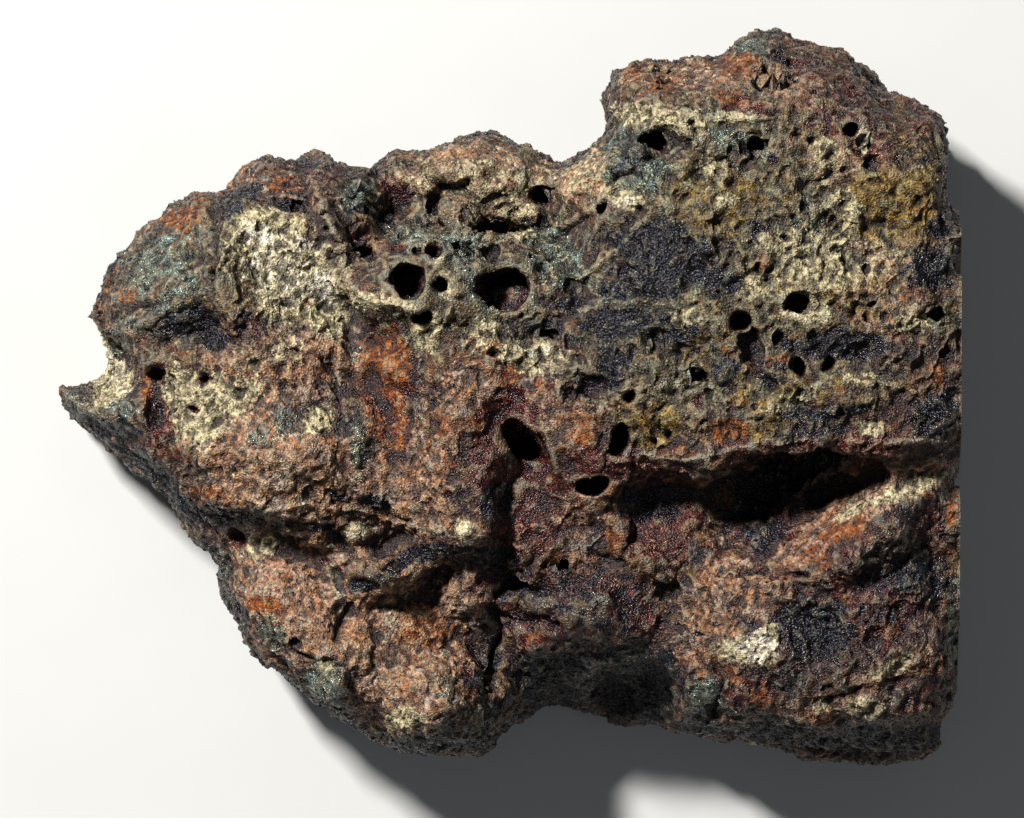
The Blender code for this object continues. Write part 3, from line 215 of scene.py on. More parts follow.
# Where each finish lies. The amount is the share of the crystals that it covers there.
FINISHES = {
    # Drab grey-brown scale, the slab's ground.
    "drab": [
        (28, 18, 22, 20, 0.85), (20, 4, 16, 9, 0.7), (-32, 12, 14, 12, 0.6), (-5, 12, 12, 8, 0.7),
        (-14, -28, 10, 12, 0.35), (-28, -3, 14, 10, 0.4), (-4, 24, 12, 5, 0.7), (9, 25, 4, 4, 0.5),
        (-26, -24, 10, 6, 0.3),
    ],
    # Pinkish-tan, dusty crust.
    "tan": [
        (-26, -6, 10, 6.5, 0.85, -15), (-27, 3, 9, 6, 0.6), (-20, 6, 5, 6, 0.75),
        (-22, -22, 9, 8, 0.85, -30), (-13, -24, 7, 7, 0.8), (-12, -33, 6, 5, 0.75),
        (-5, 25, 10.5, 4.5, 0.6), (8, 24.5, 4.5, 3.5, 0.75), (-9, -6, 5, 9, 0.5), (2, 0, 5, 5, 0.45),
        (8, -3, 3.5, 3, 0.6), (7.5, -13, 3.2, 2.8, 0.85), (9, -19, 4, 2, 0.7, -15),
        (24, -20, 5, 3.5, 0.6, 20), (22, -26, 4, 4.5, 0.7), (28, -22.5, 4, 2.5, 0.6),
        (23, -14.5, 2.4, 3.2, 0.6), (1.8, 0.9, [(30, -19), (36, -13.6), (41, -11), (48, -8.5)]),
        (36, -34, 4, 2.2, 0.7, 10), (41, -31, 4.5, 1.8, 0.75, 25), (46, -29, 3, 2.2, 0.5),
        (20, 36, 8, 2.4, 0.8), (31, 34, 4, 2, 0.7), (36, 26, 4.5, 5, 0.5), (-40, 15, 6, 7, 0.3, 45),
        (-44, 8, 3, 4, 0.4), (-24, 24, 8, 3, 0.5), (40, 12, 7, 8, 0.5), (-12, -10, 7, 4, 0.7),
        (-26, -10, 9, 3.5, 0.8, -10), (-17, -30, 4, 3, 0.6), (-9.5, -27, 7, 6, 0.9),
        (-4, 1.5, 4, 4, 0.65), (-10, -13.5, 8, 3, 0.6), (-10, -26, 8, 7, 0.95), (-24, -9, 8, 5, 0.92),
    ],
    # Olive to ochre oxide of the slab.
    "olive": [
        (42.5, 21, 5.5, 5.5, 0.83), (35, 12, 8, 9, 0.46), (16, -3, 3.2, 3.2, 0.74),
        (30, 0, 8, 3, 0.51), (22, 7, 5, 4, 0.41), (24, 22, 7, 5, 0.55), (28, -4, 4, 1.6, 0.55, 20),
        (40, 1, 8, 3, 0.41), (44, 28, 4, 4, 0.41), (-16, 18, 3, 5, 0.32, -20), (18, -19, 5, 2, 0.37),
    ],
    # Dark red-brown hematite.
    "red": [
        (26, 31.9, 3, 1.1, 1, -8), (-38.4, -2, 1.7, 3.6, 1, 5), (-16, 16.8, 1.2, 2, 1),
        (-12.5, 23, 2.2, 2, 0.77), (-29, 7.5, 4, 2.6, 0.55), (-38.5, 2.8, 1.4, 1.3, 0.88),
        (26.8, 5.6, 1.3, 2.2, 1), (0, -1.5, 4, 3, 0.77), (-2, -8, 3, 6, 0.72),
        (12, -7.5, 7, 2.4, 0.83), (2, -15, 4, 4, 0.72), (3, -21.5, 5.5, 2.6, 1),
        (8, -24.5, 9, 4, 0.88), (17, -14, 5, 5, 0.72), (-15.5, -19.8, 2.6, 1.2, 1, -10),
        (-8, -10.5, 4, 2, 0.44), (36, -5.6, 13, 1.5, 0.83), (36, 29.5, 5, 3, 0.55),
        (33, 36, 4, 2, 0.66, -20), (41, 27, 4, 2.5, 0.66), (45, 31, 3, 3, 0.55), (46, -14, 3, 4, 0.49),
        (40, -24, 7, 4.5, 0.66), (27, -33, 3.5, 3, 0.66), (45, -33, 4, 3, 0.55),
        (-20, 24.8, 2, 1.6, 0.55), (-3.5, -30, 2, 5, 0.55), (36, -21, 13, 10, 0.45),
        (6, -22, 11, 6, 0.55), (4, -10, 9, 7, 0.5), (38, 33, 9, 5, 0.5, -25), (-13.5, 1, 4, 8, 0.6),
        (-24, 24.5, 9, 3, 0.4), (8, -23.5, 8, 4.5, 0.85), (28, -13, 5, 4.5, 0.8),
    ],
    # Bright orange rust.
    "rust": [
        (-36.3, 19.5, 3, 2.6, 0.65, 45), (-33.5, 22.3, 1.6, 1.2, 0.56), (-45, 11.5, 1.2, 3, 0.56),
        (-42.3, 11.2, 1.8, 1.2, 0.56), (-24.5, 23.6, 2, 1, 0.7), (-40, 1, 0.8, 2.4, 0.65),
        (-43.6, 2.6, 0.8, 2.2, 0.65, 30), (-37, -6.5, 2.6, 1.6, 0.47, -30),
        (-33.5, -10.6, 2.2, 1.2, 0.7), (-13.2, 3, 3, 4.5, 0.75), (-12.5, -4, 2.6, 4, 0.51),
        (-15.6, 2, 1.2, 6, 0.47), (-7.2, -3, 0.7, 1.4, 0.85), (-7, -7, 1.8, 3, 0.38),
        (-10, 16, 0.9, 0.7, 0.85), (-2.6, 5.6, 1.6, 1.3, 0.65), (-1.3, 4.5, 0.7, 0.9, 0.85),
        (0.4, 2.4, 1.6, 1.4, 0.7), (4, 1, 2, 1.6, 0.47), (8.6, -4.6, 1, 1, 0.75),
        (8, -2.6, 2, 1.6, 0.47), (-27, -23, 2.4, 1.1, 0.75, -15), (-5.2, -26, 1, 1, 0.94),
        (-8.5, -26, 3, 2.6, 0.61), (-10.5, -28, 2, 3, 0.43), (24, -4, 3, 1.5, 0.8, 20),
        (19, -6, 3, 1, 0.47), (24.6, 5, 1.6, 0.9, 0.8), (27.5, 3.4, 2.6, 1.4, 0.65),
        (30.5, 5, 0.8, 1.6, 0.65), (47.3, 2.5, 1.4, 2, 0.65), (28.1, 15, 0.8, 0.8, 0.94),
        (25.5, 36.8, 2.6, 1.2, 0.89, 10), (17.5, 34.8, 2, 1.4, 0.85), (14.5, 35.8, 2, 1.6, 0.56),
        (24.5, 33, 2.4, 1.2, 0.75, -10), (12, -15.5, 1.6, 2, 0.65), (11.5, -10, 1, 0.8, 0.75),
        (37, -14.8, 3.4, 1.2, 0.75, 28), (34.5, -17.5, 2, 1.6, 0.51), (37, -22.4, 1.2, 0.8, 0.85),
        (39, -27, 1.6, 1.4, 0.47), (42, -25.5, 1.4, 1.4, 0.43), (22, -30.6, 0.9, 0.8, 0.85),
        (25, -30.6, 0.9, 1, 0.94), (28, -34, 1.8, 2.6, 0.61), (34.5, -35.8, 1.6, 0.7, 0.65),
        (46.8, -29.5, 2, 1.5, 0.47), (49, -13, 0.8, 2, 0.65), (3, -26.5, 0.9, 0.8, 0.65),
        (-1, -23, 1, 1, 0.56), (2.5, -15, 1.6, 1.6, 0.28), (20, 24, 12, 8, 0.1), (38, 24, 9, 9, 0.14),
    ],
    # Bare iron skin, blue-grey to green-grey.
    "iron": [
        (-39, 14.5, 5, 3.5, 0.67, 45), (-36, 11, 3.5, 3, 0.62), (-42.5, 15.5, 2, 1.6, 0.54),
        (-43, 7, 2.5, 2.5, 0.59), (-34, 17, 1.5, 3, 0.46), (-17, 22.5, 2.6, 2.4, 0.67),
        (-10, 18, 3.5, 2.5, 0.67, -20), (-5, 16.5, 5, 2.2, 0.72), (5, 16, 3.5, 5, 0.72, 20),
        (1, 10.5, 5, 1.5, 0.62), (-4, 12, 1.5, 3, 0.54), (14, 25, 3.6, 4.5, 0.77, -40),
        (12.5, 28, 2, 2.5, 0.67), (24, 28.5, 5, 1.4, 0.59), (33, 17, 5, 4.5, 0.54),
        (15, 10, 9, 8, 0.41), (24, 5, 4, 4, 0.36), (19, 3, 4, 3, 0.41),
        (-47.5, -1, 2.5, 1.2, 0.82, -35), (-42.5, -1.2, 2, 1.6, 0.62), (-25, -3.5, 4, 2.2, 0.54, 20),
        (-16.3, -6, 1.3, 4.5, 0.62), (-17, 5, 1.5, 3, 0.36), (-20, -31.8, 2.8, 2.6, 0.82),
        (-26, -26, 2, 2.6, 0.62), (-31.5, -19.5, 0.9, 3, 0.72, 20), (-13, -33, 4, 2.5, 0.31),
        (-7, -32, 2.5, 2, 0.46), (27, 39, 2.5, 1.4, 0.72), (22, -33, 2.2, 2.4, 0.72),
        (43, -15, 3, 3, 0.31), (49.3, -25, 0.8, 6, 0.54), (-10, -1.5, 1.5, 3, 0.36),
        (-38.5, 5, 2.5, 1.5, 0.36),
    ],
    # Blue-black oxide, and painted shade: the strokes along the spur's underside and along the lower
    # edges, and the patches in the bottom recess and in the pocket under the slab's edge, stand where
    # shade falls.
    "dark": [
        (-35, 8, 4.2, 1.6, 1, 8), (-32.5, 6.2, 2.4, 1, 0.96),
        (1.1, 0.85, [(-30.5, 19.5), (-29.6, 22.5), (-28, 23)]), (-23.5, 21.2, 2, 1, 0.96, 10),
        (1, 0.74, [(-17.5, 25.5), (-14, 25.2)]), (-15.5, 21, 1.6, 0.8, 0.85),
        (-44, -3.2, 3.4, 1.6, 1, -20),
        (1.2, 1, [(-49.5, -1), (-46, -5), (-41, -7.2), (-38, -9.4), (-35.6, -13)]),
        (0.9, 1, [(-35, -13), (-31, -13.2), (-27.5, -12.9)]),
        (0.7, 0.85, [(-25.5, -14), (-21, -14.5)]),
        (0.9, 1, [(-17, -20.8), (-14, -20.3), (-11, -17.5), (-6, -17), (-2, -18), (0.5, -17.8)]),
        (-14.5, -11.6, 2.4, 0.9, 0.85, -8), (-18.5, -11, 1.5, 0.8, 0.64), (19.5, 15.6, 4.5, 2.4, 0.96),
        (15, 13, 5, 2.6, 0.85), (22, 13, 3, 1.5, 0.8), (12, 5, 3.5, 3, 0.64), (18, 7.5, 4, 2, 0.69),
        (10.8, 2.4, 1.6, 2, 0.85), (4, 7.3, 3, 1.4, 0.96, 10), (8.6, 1.2, 1.6, 1.2, 0.85, 20),
        (7, 10, 2, 1.4, 0.69), (38, 5.6, 6, 1.2, 1), (24, 3, 2.4, 2, 0.64), (33, -2, 3, 1.2, 0.74),
        (38, -1.4, 2, 1, 0.74), (46.5, 14, 2.8, 2, 0.96), (47.5, 18.5, 1.6, 1.6, 0.74),
        (47.5, 9.5, 1, 1, 0.64), (47, -2, 3, 3.5, 0.8), (33, 21.6, 1.6, 0.9, 0.74),
        (28, 18.8, 1.6, 1, 0.64), (31, -9.5, 7.5, 2.8, 1, 18), (16, -12, 3.6, 2.4, 0.69),
        (34, -25, 4.2, 4.4, 0.85), (44, -19, 3.5, 2, 0.85, 10), (42, -24, 3, 2, 0.53),
        (14, -32, 5.5, 4.5, 1), (6, -31, 6, 3, 0.8),
        (1.3, 1, [(20, -36.8), (26, -37.8), (31, -37), (34, -38.2), (42, -37.6), (48, -38)]),
        (-1.2, -11.5, 2, 3, 0.74), (-1.5, -27, 0.8, 4, 0.96),
        (1.2, 0.96, [(-13, -38.8), (-8, -39.2), (-2, -38.2)]), (-2.5, -33, 2, 4, 0.53),
        (0.8, 0.74, [(-33.6, -16.5), (-31, -22), (-29, -24.5)]), (-18, -36, 1.6, 0.7, 0.96),
        (24, 22, 13, 9, 0.19), (38, 12, 12, 16, 0.18), (14, -26, 12, 6, 0.33), (40, -24, 9, 8, 0.33),
        (17.3, 15.8, 6.5, 3.8, 0.92), (12.5, 18.5, 3, 3, 0.5), (14, 26.5, 2.4, 3.5, 0.6, -30),
        (23.3, 12.6, 3, 2, 0.85), (36.2, 5.4, 6, 1.6, 1), (12, 8, 5, 2.4, 0.8), (29, 2.6, 4, 1.6, 0.6),
        (46, 13.8, 3, 2.4, 0.7), (33, -4, 5, 1.2, 0.6), (-39, 10, 3, 1.4, 0.45, 20),
        (-28, 8, 4, 2, 0.5), (-30.5, 21.5, 1.4, 3, 0.75), (36, -26, 7, 4, 0.55, 10),
        (44, -20, 6, 3, 0.6), (25, -35, 5, 2, 0.5), (26, 26, 3, 2, 0.5), (-38, 13, 8, 7, 0.3, 45),
        (-22, 24.5, 10, 3, 0.4), (20, 35, 12, 4, 0.25), (-5, 14, 10, 5, 0.4), (-4, 26, 10, 3, 0.25),
        (8, -23, 10, 5, 0.55), (38, 33, 8, 5, 0.35, -25), (-33, 1, 6, 4, 0.15), (38, -30, 10, 6, 0.25),
        (-8.1, 21.8, 1.1, 2.2, 0.7, -15), (-5.8, 23.3, 2, 0.7, 0.5, 10), (3.9, 22.4, 1.5, 1, 0.8, 20),
        (27.5, -13.5, 4, 4, 0.6), (1.9, 24, 0.7, 2.4, 0.5, 10), (-12, 26, 4, 1, 0.5),
        (33, -24.5, 4.5, 3, 0.9), (27, 16, 4, 3, 0.35),
        (2.2, 0.95, [(-48.4, -3), (-44, -6.4), (-40, -9), (-37, -12.5)]),
    ],
    # Cream clay of lime and iron oxides, caked in the hollows.
    "clay": [
        (-26.5, 17, 5, 3.8, 0.98), (-22, 13.5, 4.5, 4, 0.93), (-24.5, 13, 4.5, 5.5, 0.83),
        (-19.5, 9, 3.5, 2.5, 0.89, 30), (1, 0.83, [(-19, 9), (-15, 10.6), (-11, 9.8)]),
        (-9, 6.5, 1.8, 2.6, 0.78, -20), (-45, 1, 2, 2.6, 0.98, 30), (-43, 2, 1.8, 2.2, 0.98),
        (0.8, 0.93, [(-45.6, 7), (-44.6, 4), (-43, 2)]), (-36, 1, 2.5, 2.5, 0.78),
        (-34, -3.4, 2, 1.8, 0.98), (-31, 0, 4, 3, 0.74), (-28.5, 3.5, 3, 2.5, 0.44),
        (-20.5, -2.5, 1.6, 2.4, 0.89, -20), (-24, 5, 2.5, 2.5, 0.48), (2.4, 5, 3, 1.3, 0.98, 15),
        (-3, 5.5, 1.5, 1.2, 0.59), (13, 21.5, 2.2, 1.2, 0.98, 10), (16, 31, 5, 1.4, 0.89, -8),
        (24, 30.8, 4, 0.8, 0.68), (20.5, 30, 2.2, 1.8, 0.83), (22.5, 25, 2.4, 2.4, 0.59),
        (24, 21.5, 1.6, 1.2, 0.74), (35.5, 27, 2.6, 2.2, 0.54), (39, 28.3, 1.1, 1.6, 0.83),
        (36, 22, 3, 1.6, 0.59), (38, 20, 1.4, 2, 0.74), (28.3, 16.8, 1, 1.4, 0.89),
        (27, 12, 2.2, 1.4, 0.68), (20, 9, 1.8, 1.6, 0.68), (33.5, 9.5, 3.5, 1.8, 0.78, 15),
        (41, 15, 3, 3, 0.48), (44.5, 8.5, 2, 1.6, 0.63), (37, 14, 5, 5, 0.44),
        (31, -0.6, 4, 1, 0.74, 20), (39, 2, 3, 1, 0.48), (40, -3.4, 1.6, 1, 0.83),
        (-16.8, -15, 1.6, 1.2, 0.83), (-4.6, -14.6, 1.2, 1.6, 0.93, -15),
        (0.6, 0.98, [(-19.6, -18.8), (-18.6, -21), (-18.2, -24)]), (-28, -16.5, 3, 1.8, 0.68),
        (-20, -29.5, 1, 0.8, 0.78), (-11.5, -35.5, 2.6, 1.4, 0.89, 10), (-14, -37.5, 1, 1.2, 0.74),
        (-3.5, -35, 1.2, 1.6, 0.48), (44, -10.2, 4.5, 1.2, 0.78, 22), (38, -12.4, 3, 1, 0.59, 35),
        (26.6, -28, 3.4, 2, 0.7, -10), (28.5, -27.5, 1.3, 2.8, 0.75), (39.5, -34, 2.4, 1.2, 0.74),
        (34.5, -34, 1.8, 1, 0.59), (42, -30, 3.4, 1, 0.63, 25), (10.5, 26, 2.4, 3, 0.44),
        (-5, 20.9, 2, 2, 0.59), (18, 36, 9, 2.5, 0.34), (-22, -8, 12, 8, 0.2), (-14, -26, 10, 9, 0.16),
        (-5, 25, 9, 3.5, 0.36), (34, 15, 5.5, 4.5, 0.7), (1.6, 18.2, 2, 1.2, 0.8),
        (-33, -2, 5, 4, 0.6), (-7, 13.5, 1.2, 4.5, 0.5, 10), (5.5, 16.5, 1.6, 3, 0.4, 20),
        (-9, -26, 6, 6, 0.3), (-25, -9, 6, 4, 0.35), (-3, 7.5, 3, 2.6, 0.55), (3, 4.5, 4, 2.2, 0.6),
        (-10, -12, 7, 3, 0.25), (1.6, 20.6, 2.6, 1.2, 0.7), (-4, 24, 10, 4, 0.48), (8, 25, 5, 4, 0.5),
        (-5.2, 20.4, 2.4, 2.2, 0.6),
    ],
    # Nearly white lime.
    "pale": [
        (27.6, -27.6, 3, 1.8, 0.6, 15), (-43, 2.2, 1.3, 1.5, 0.4), (-45.4, 0.6, 1.4, 1.6, 0.3),
        (13, 21.4, 2.2, 0.9, 0.45, 10), (3.6, 4.9, 1.7, 0.7, 0.9, 15), (-4.7, -14.6, 1.2, 1.4, 0.35),
        (-18.4, -22, 0.4, 2.4, 0.8, 5), (-16.6, -15, 1.4, 1, 0.35), (31.2, 9.8, 0.8, 1.5, 0.8, 35),
        (-22.5, 16.8, 1.2, 1, 0.8), (-27.5, 18, 2.2, 1.6, 0.6), (-20.5, 12, 1.8, 2, 0.7),
        (38.9, 28.4, 0.8, 1.4, 0.7), (-24.5, 14, 5, 5, 0.45), (-43.5, 3, 1.6, 3, 0.45, 20),
    ],
}

# The scoop beside the spur is lined with clay, though it is as steep as a wall.
SCOOP = [(-44.2, 3.4, 2.6, 4.6, 1, 20)]

# On the walls no patch lies: there each finish covers about this share, in lumps.
WALLS = {"drab": 0.50, "tan": 0.40, "olive": 0.15, "red": 0.45, "rust": 0.30, "iron": 0.35,
         "dark": 0.45, "clay": 0.15, "pale": 0.0}


def smooth_step(value, low, high):
    """Eases from 0 at low to 1 at high."""
    share = np.clip((value - low) / (high - low), 0.0, 1.0)
    return share * share * (3.0 - 2.0 * share)


def oval_reach(points, oval, grown=0.0):
    """0 at the middle of the oval and 1 on its edge."""
    angle = math.radians(oval.turn)
    dx, dy = points[:, 0] - oval.x, points[:, 1] - oval.y
    along = dx * math.cos(angle) + dy * math.sin(angle)
    over = dy * math.cos(angle) - dx * math.sin(angle)
    return np.hypot(along / (oval.across + grown), over / (oval.high + grown))


def line_distance(points, corners):
    """Distance, seen from above, to the nearest point of a line of straight stretches."""
    nearest = np.full(len(points), np.inf)
    for start, end in zip(corners[:-1], corners[1:]):
        start, way = np.array(start), np.array(end) - np.array(start)
        share = np.clip((points[:, :2] - start) @ way / (way @ way), 0.0, 1.0)
        gap = points[:, :2] - start - share[:, None] * way
        nearest = np.minimum(nearest, np.hypot(gap[:, 0], gap[:, 1]))
    return nearest


def pick_by_cell(order, cell):
    """A number from 0 to 255 for each cell of a grid, always the same for the same cell."""
    column = order[cell[:, 0] & 255] + cell[:, 1]
    return order[(order[column & 255] + cell[:, 2]) & 255]


def gradient_noise(points, size, seed):
    """Smooth noise from -1 to 1 whose lumps are about size across. Each use has a seed of its own, so
    that no two patterns fall together."""
    rng = np.random.default_rng(seed)
    order = rng.permutation(256)
    slopes = rng.normal(size=(256, 3))
    slopes /= np.linalg.norm(slopes, axis=1)[:, None]
    place = points / size + 100.0
    cell = np.floor(place).astype(int)
    part = place - cell
    ease = part * part * part * (part * (part * 6.0 - 15.0) + 10.0)
    total = np.zeros(len(points))
    for corner in np.ndindex(2, 2, 2):
        near = cell + corner
        rise = np.einsum("ij,ij->i", slopes[pick_by_cell(order, near)], part - corner)
        weight = np.prod(np.where(corner, ease, 1.0 - ease), axis=1)
        total += rise * weight
    return total * 1.6


def crumpled(points, size, octaves, seed):
    """Fractal noise, about -1 to 1."""
    total, strength = np.zeros(len(points)), 1.0
    for octave in range(octaves):
        total += strength * gradient_noise(points, size / 2 ** octave, seed + octave)
        strength *= 0.55
    return total / 1.6


def pocks(points, size, share, seed):
    """Round cups 0 to 1 deep, one in each cell of about this size, left out of all but a share."""
    rng = np.random.default_rng(seed)
    order = rng.permutation(256)
    spots = rng.uniform(0.15, 0.85, size=(256, 3))
    chance = rng.uniform(size=256)
    place = points / size + 100.0
    cell = np.floor(place).astype(int)
    deep = np.zeros(len(points))
    for corner in np.ndindex(3, 3, 3):
        near = cell + corner - 1
        picked = pick_by_cell(order, near)
        gap = np.linalg.norm(near + spots[picked] - place, axis=1)
        wide = 0.30 + 0.30 * (chance[picked] / share)
        cup = (chance[picked] < share) * (1.0 - smooth_step(gap / wide, 0.25, 1.0))
        deep = np.maximum(deep, cup)
    return deep


def wobble(points):
    """A sideways drift that makes outlines irregular."""
    return np.column_stack([
        0.5 * gradient_noise(points, 3.6, 91 + i) + 0.22 * gradient_noise(points, 1.3, 95 + i)
        for i in range(3)]) * (1.0, 1.0, 0.4)


def amount_of(rows, points, seed):
    """From 0 to 1, how strong some patches and strokes are at each point. Their outlines are ragged."""
    ragged = 0.55 * crumpled(points, 3.4, 4, seed)
    amount = np.zeros(len(points))
    for row in rows:
        if len(row) == 3:
            mark = Stroke(*row)
            reach = line_distance(points, mark.points) / mark.width
        else:
            mark = Patch(*row)
            reach = oval_reach(points, mark)
        here = mark.amount * (1.0 - smooth_step(reach + ragged, 0.45, 1.45))
        amount = np.maximum(amount, here)
    return amount


def gap_to_mouths(points):
    """The distance from the nearest rim of a bubble, less than 0 inside it."""
    still = points - wobble(points)
    nearest = np.full(len(points), np.inf)
    for mouth in MOUTHS:
        reach = oval_reach(still, mouth)
        nearest = np.minimum(nearest, (reach - 1.0) * 0.5 * (mouth.across + mouth.high))
    return nearest


def select_only(obj):
    bpy.ops.object.select_all(action="DESELECT")
    obj.select_set(True)
    bpy.context.view_layer.objects.active = obj


def apply_modifier(obj, kind, **settings):
    select_only(obj)
    modifier = obj.modifiers.new(kind.lower(), kind)
    for name, value in settings.items():
        setattr(modifier, name, value)
    bpy.ops.object.modifier_apply(modifier=modifier.name)


def points_of(obj):
    """Vertex positions in millimetres."""
    flat = np.empty(len(obj.data.vertices) * 3, np.float32)
    obj.data.vertices.foreach_get("co", flat)
    return flat.reshape(-1, 3).astype(float) / MM


def normals_of(obj):
    flat = np.empty(len(obj.data.vertices) * 3, np.float32)
    obj.data.vertex_normals.foreach_get("vector", flat)
    return flat.reshape(-1, 3).astype(float)


def move_points(obj, points):
    obj.data.vertices.foreach_set("co", (points * MM).astype(np.float32).ravel())
    obj.data.update()


def set_group(obj, name, weights):
    """A vertex group with a weight from 0 to 1 for each vertex, in 32 steps."""
    group = obj.vertex_groups.new(name=name)
    steps = np.round(np.clip(weights, 0.0, 1.0) * 32).astype(int)
    for step in range(1, 33):
        group.add(np.flatnonzero(steps == step).tolist(), step / 32, "REPLACE")
    return name


def clouds(name, size, **settings):
    """A texture of lumps about size across."""
    made = bpy.data.textures.new(name, "CLOUDS")
    made.noise_scale = size * MM
    for name, value in settings.items():
        setattr(made, name, value)
    return made


def copy_of_solid():
    """The solid, merged, and lengthened past both sawn planes."""
    select_only(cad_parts["meteorite"])
    bpy.ops.object.duplicate()
    stone = bpy.context.active_object
    stone.name = stone.data.name = "meteorite_body"
    for name in list(stone.keys()):
        del stone[name]
    stone.parent = None
    bpy.ops.object.mode_set(mode="EDIT")
    bpy.ops.mesh.select_all(action="SELECT")
    bpy.ops.mesh.remove_doubles(threshold=0.001 * MM)
    bpy.ops.object.mode_set(mode="OBJECT")
    points = points_of(stone)
    points[points[:, 2] < ON_PLANE, 2] -= SAW_ALLOWANCE
    points[points[:, 0] > SIDE - ON_PLANE, 0] += SAW_ALLOWANCE
    move_points(stone, points)
    return stone


def voxel_remesh(obj, voxel):
    apply_modifier(obj, "REMESH", mode="VOXEL", voxel_size=voxel * MM, adaptivity=0.0)


def soften_facets(stone):
    """Rounds the facets of the solid away, but keeps the mouths of its bubbles."""
    voxel_remesh(stone, SOFT_VOXEL)
    points = points_of(stone)
    calm = np.ones(len(points))
    for mouth in MOUTHS:
        calm = np.minimum(calm, smooth_step(oval_reach(points, mouth, grown=0.2), 1.0, 1.7))
    calm = np.maximum(calm, 0.12)
    group = set_group(stone, "calm", calm)
    apply_modifier(stone, "SMOOTH", factor=0.5, iterations=FACET_PASSES, vertex_group=group)
    stone.vertex_groups.clear()


def cut_pits(stone):
    """One Boolean with an egg for each pit, each sunk along the face where it lies."""
    eggs = []
    down = Vector((0, 0, -1))
    for pit in PITS:
        above = Vector((pit.x * MM, pit.y * MM, 0.06))
        hit, place, normal, _ = stone.ray_cast(above, down)
        if not hit:
            continue
        lean = (normal + Vector((0, 0, 1.5))).normalized()
        bpy.ops.object.select_all(action="DESELECT")
        bpy.ops.mesh.primitive_ico_sphere_add(subdivisions=2, radius=1.0)
        egg = bpy.context.active_object
        turn = lean.to_track_quat("Z", "Y").to_matrix().to_4x4()
        spin = Matrix.Rotation(math.radians(pit.turn), 4, "Z")
        size = Matrix.Diagonal((pit.across * MM, pit.high * MM, pit.deep * MM, 1.0))
        sink = Matrix.Translation(place - lean * 0.12 * pit.deep * MM)
        egg.data.transform(sink @ turn @ spin @ size)
        eggs.append(egg)
    select_only(eggs[0])
    for egg in eggs:
        egg.select_set(True)
    bpy.ops.object.join()
    cutter = bpy.context.active_object
    voxel_remesh(cutter, PIT_VOXEL)
    apply_modifier(stone, "BOOLEAN", object=cutter, operation="DIFFERENCE", solver="EXACT")
    bpy.data.objects.remove(cutter)


def silt_up(stone):
    """Raises the floors of some hollows to uneven silt that is a little lower round its rim."""
    points = points_of(stone)
    for fill in FILLS:
        reach = oval_reach(points, fill)
        level = fill.level - 0.8 * smooth_step(reach, 0.5, 1.0) + 0.5 * gradient_noise(points, 2.0, 5)
        inside = (reach < 1.0) & (points[:, 2] > 2.0)
        points[inside, 2] = np.maximum(points[inside, 2], level[inside])
    move_points(stone, points)


def saw(stone):
    """Cuts the back and the side flat."""
    side = cad_box[1].x
    cuts = (((0, 0, 0), (0, 0, 1), "clear_inner"), ((side, 0, 0), (1, 0, 0), "clear_outer"))
    for place, normal, cleared in cuts:
        select_only(stone)
        bpy.ops.object.mode_set(mode="EDIT")
        bpy.ops.mesh.select_all(action="SELECT")
        bpy.ops.mesh.bisect(plane_co=place, plane_no=normal, use_fill=True, threshold=1e-7,
                            **{cleared: True})
        bpy.ops.object.mode_set(mode="OBJECT")


def draw_lines(points, facing_up, rise):
    """Adds the cracks and webs to the rise, with ragged widths and gaps in them."""
    drift = 0.5 * wobble(points)
    for line in LINES:
        gap = line_distance(points + drift, line.points)
        near = gap < 6.0 * line.width
        broken = np.clip(0.65 + 0.9 * gradient_noise(points[near], 2.6, 41), 0.1, 1.3)
        ragged = 1.0 + 0.5 * gradient_noise(points[near], 1.3, 42)
        sharp = np.exp(-gap[near] / (line.width * ragged))
        strength = WEB_STRENGTH if line.height > 0 else CRACK_STRENGTH
        rise[near] += facing_up[near] * strength * line.height * broken * sharp


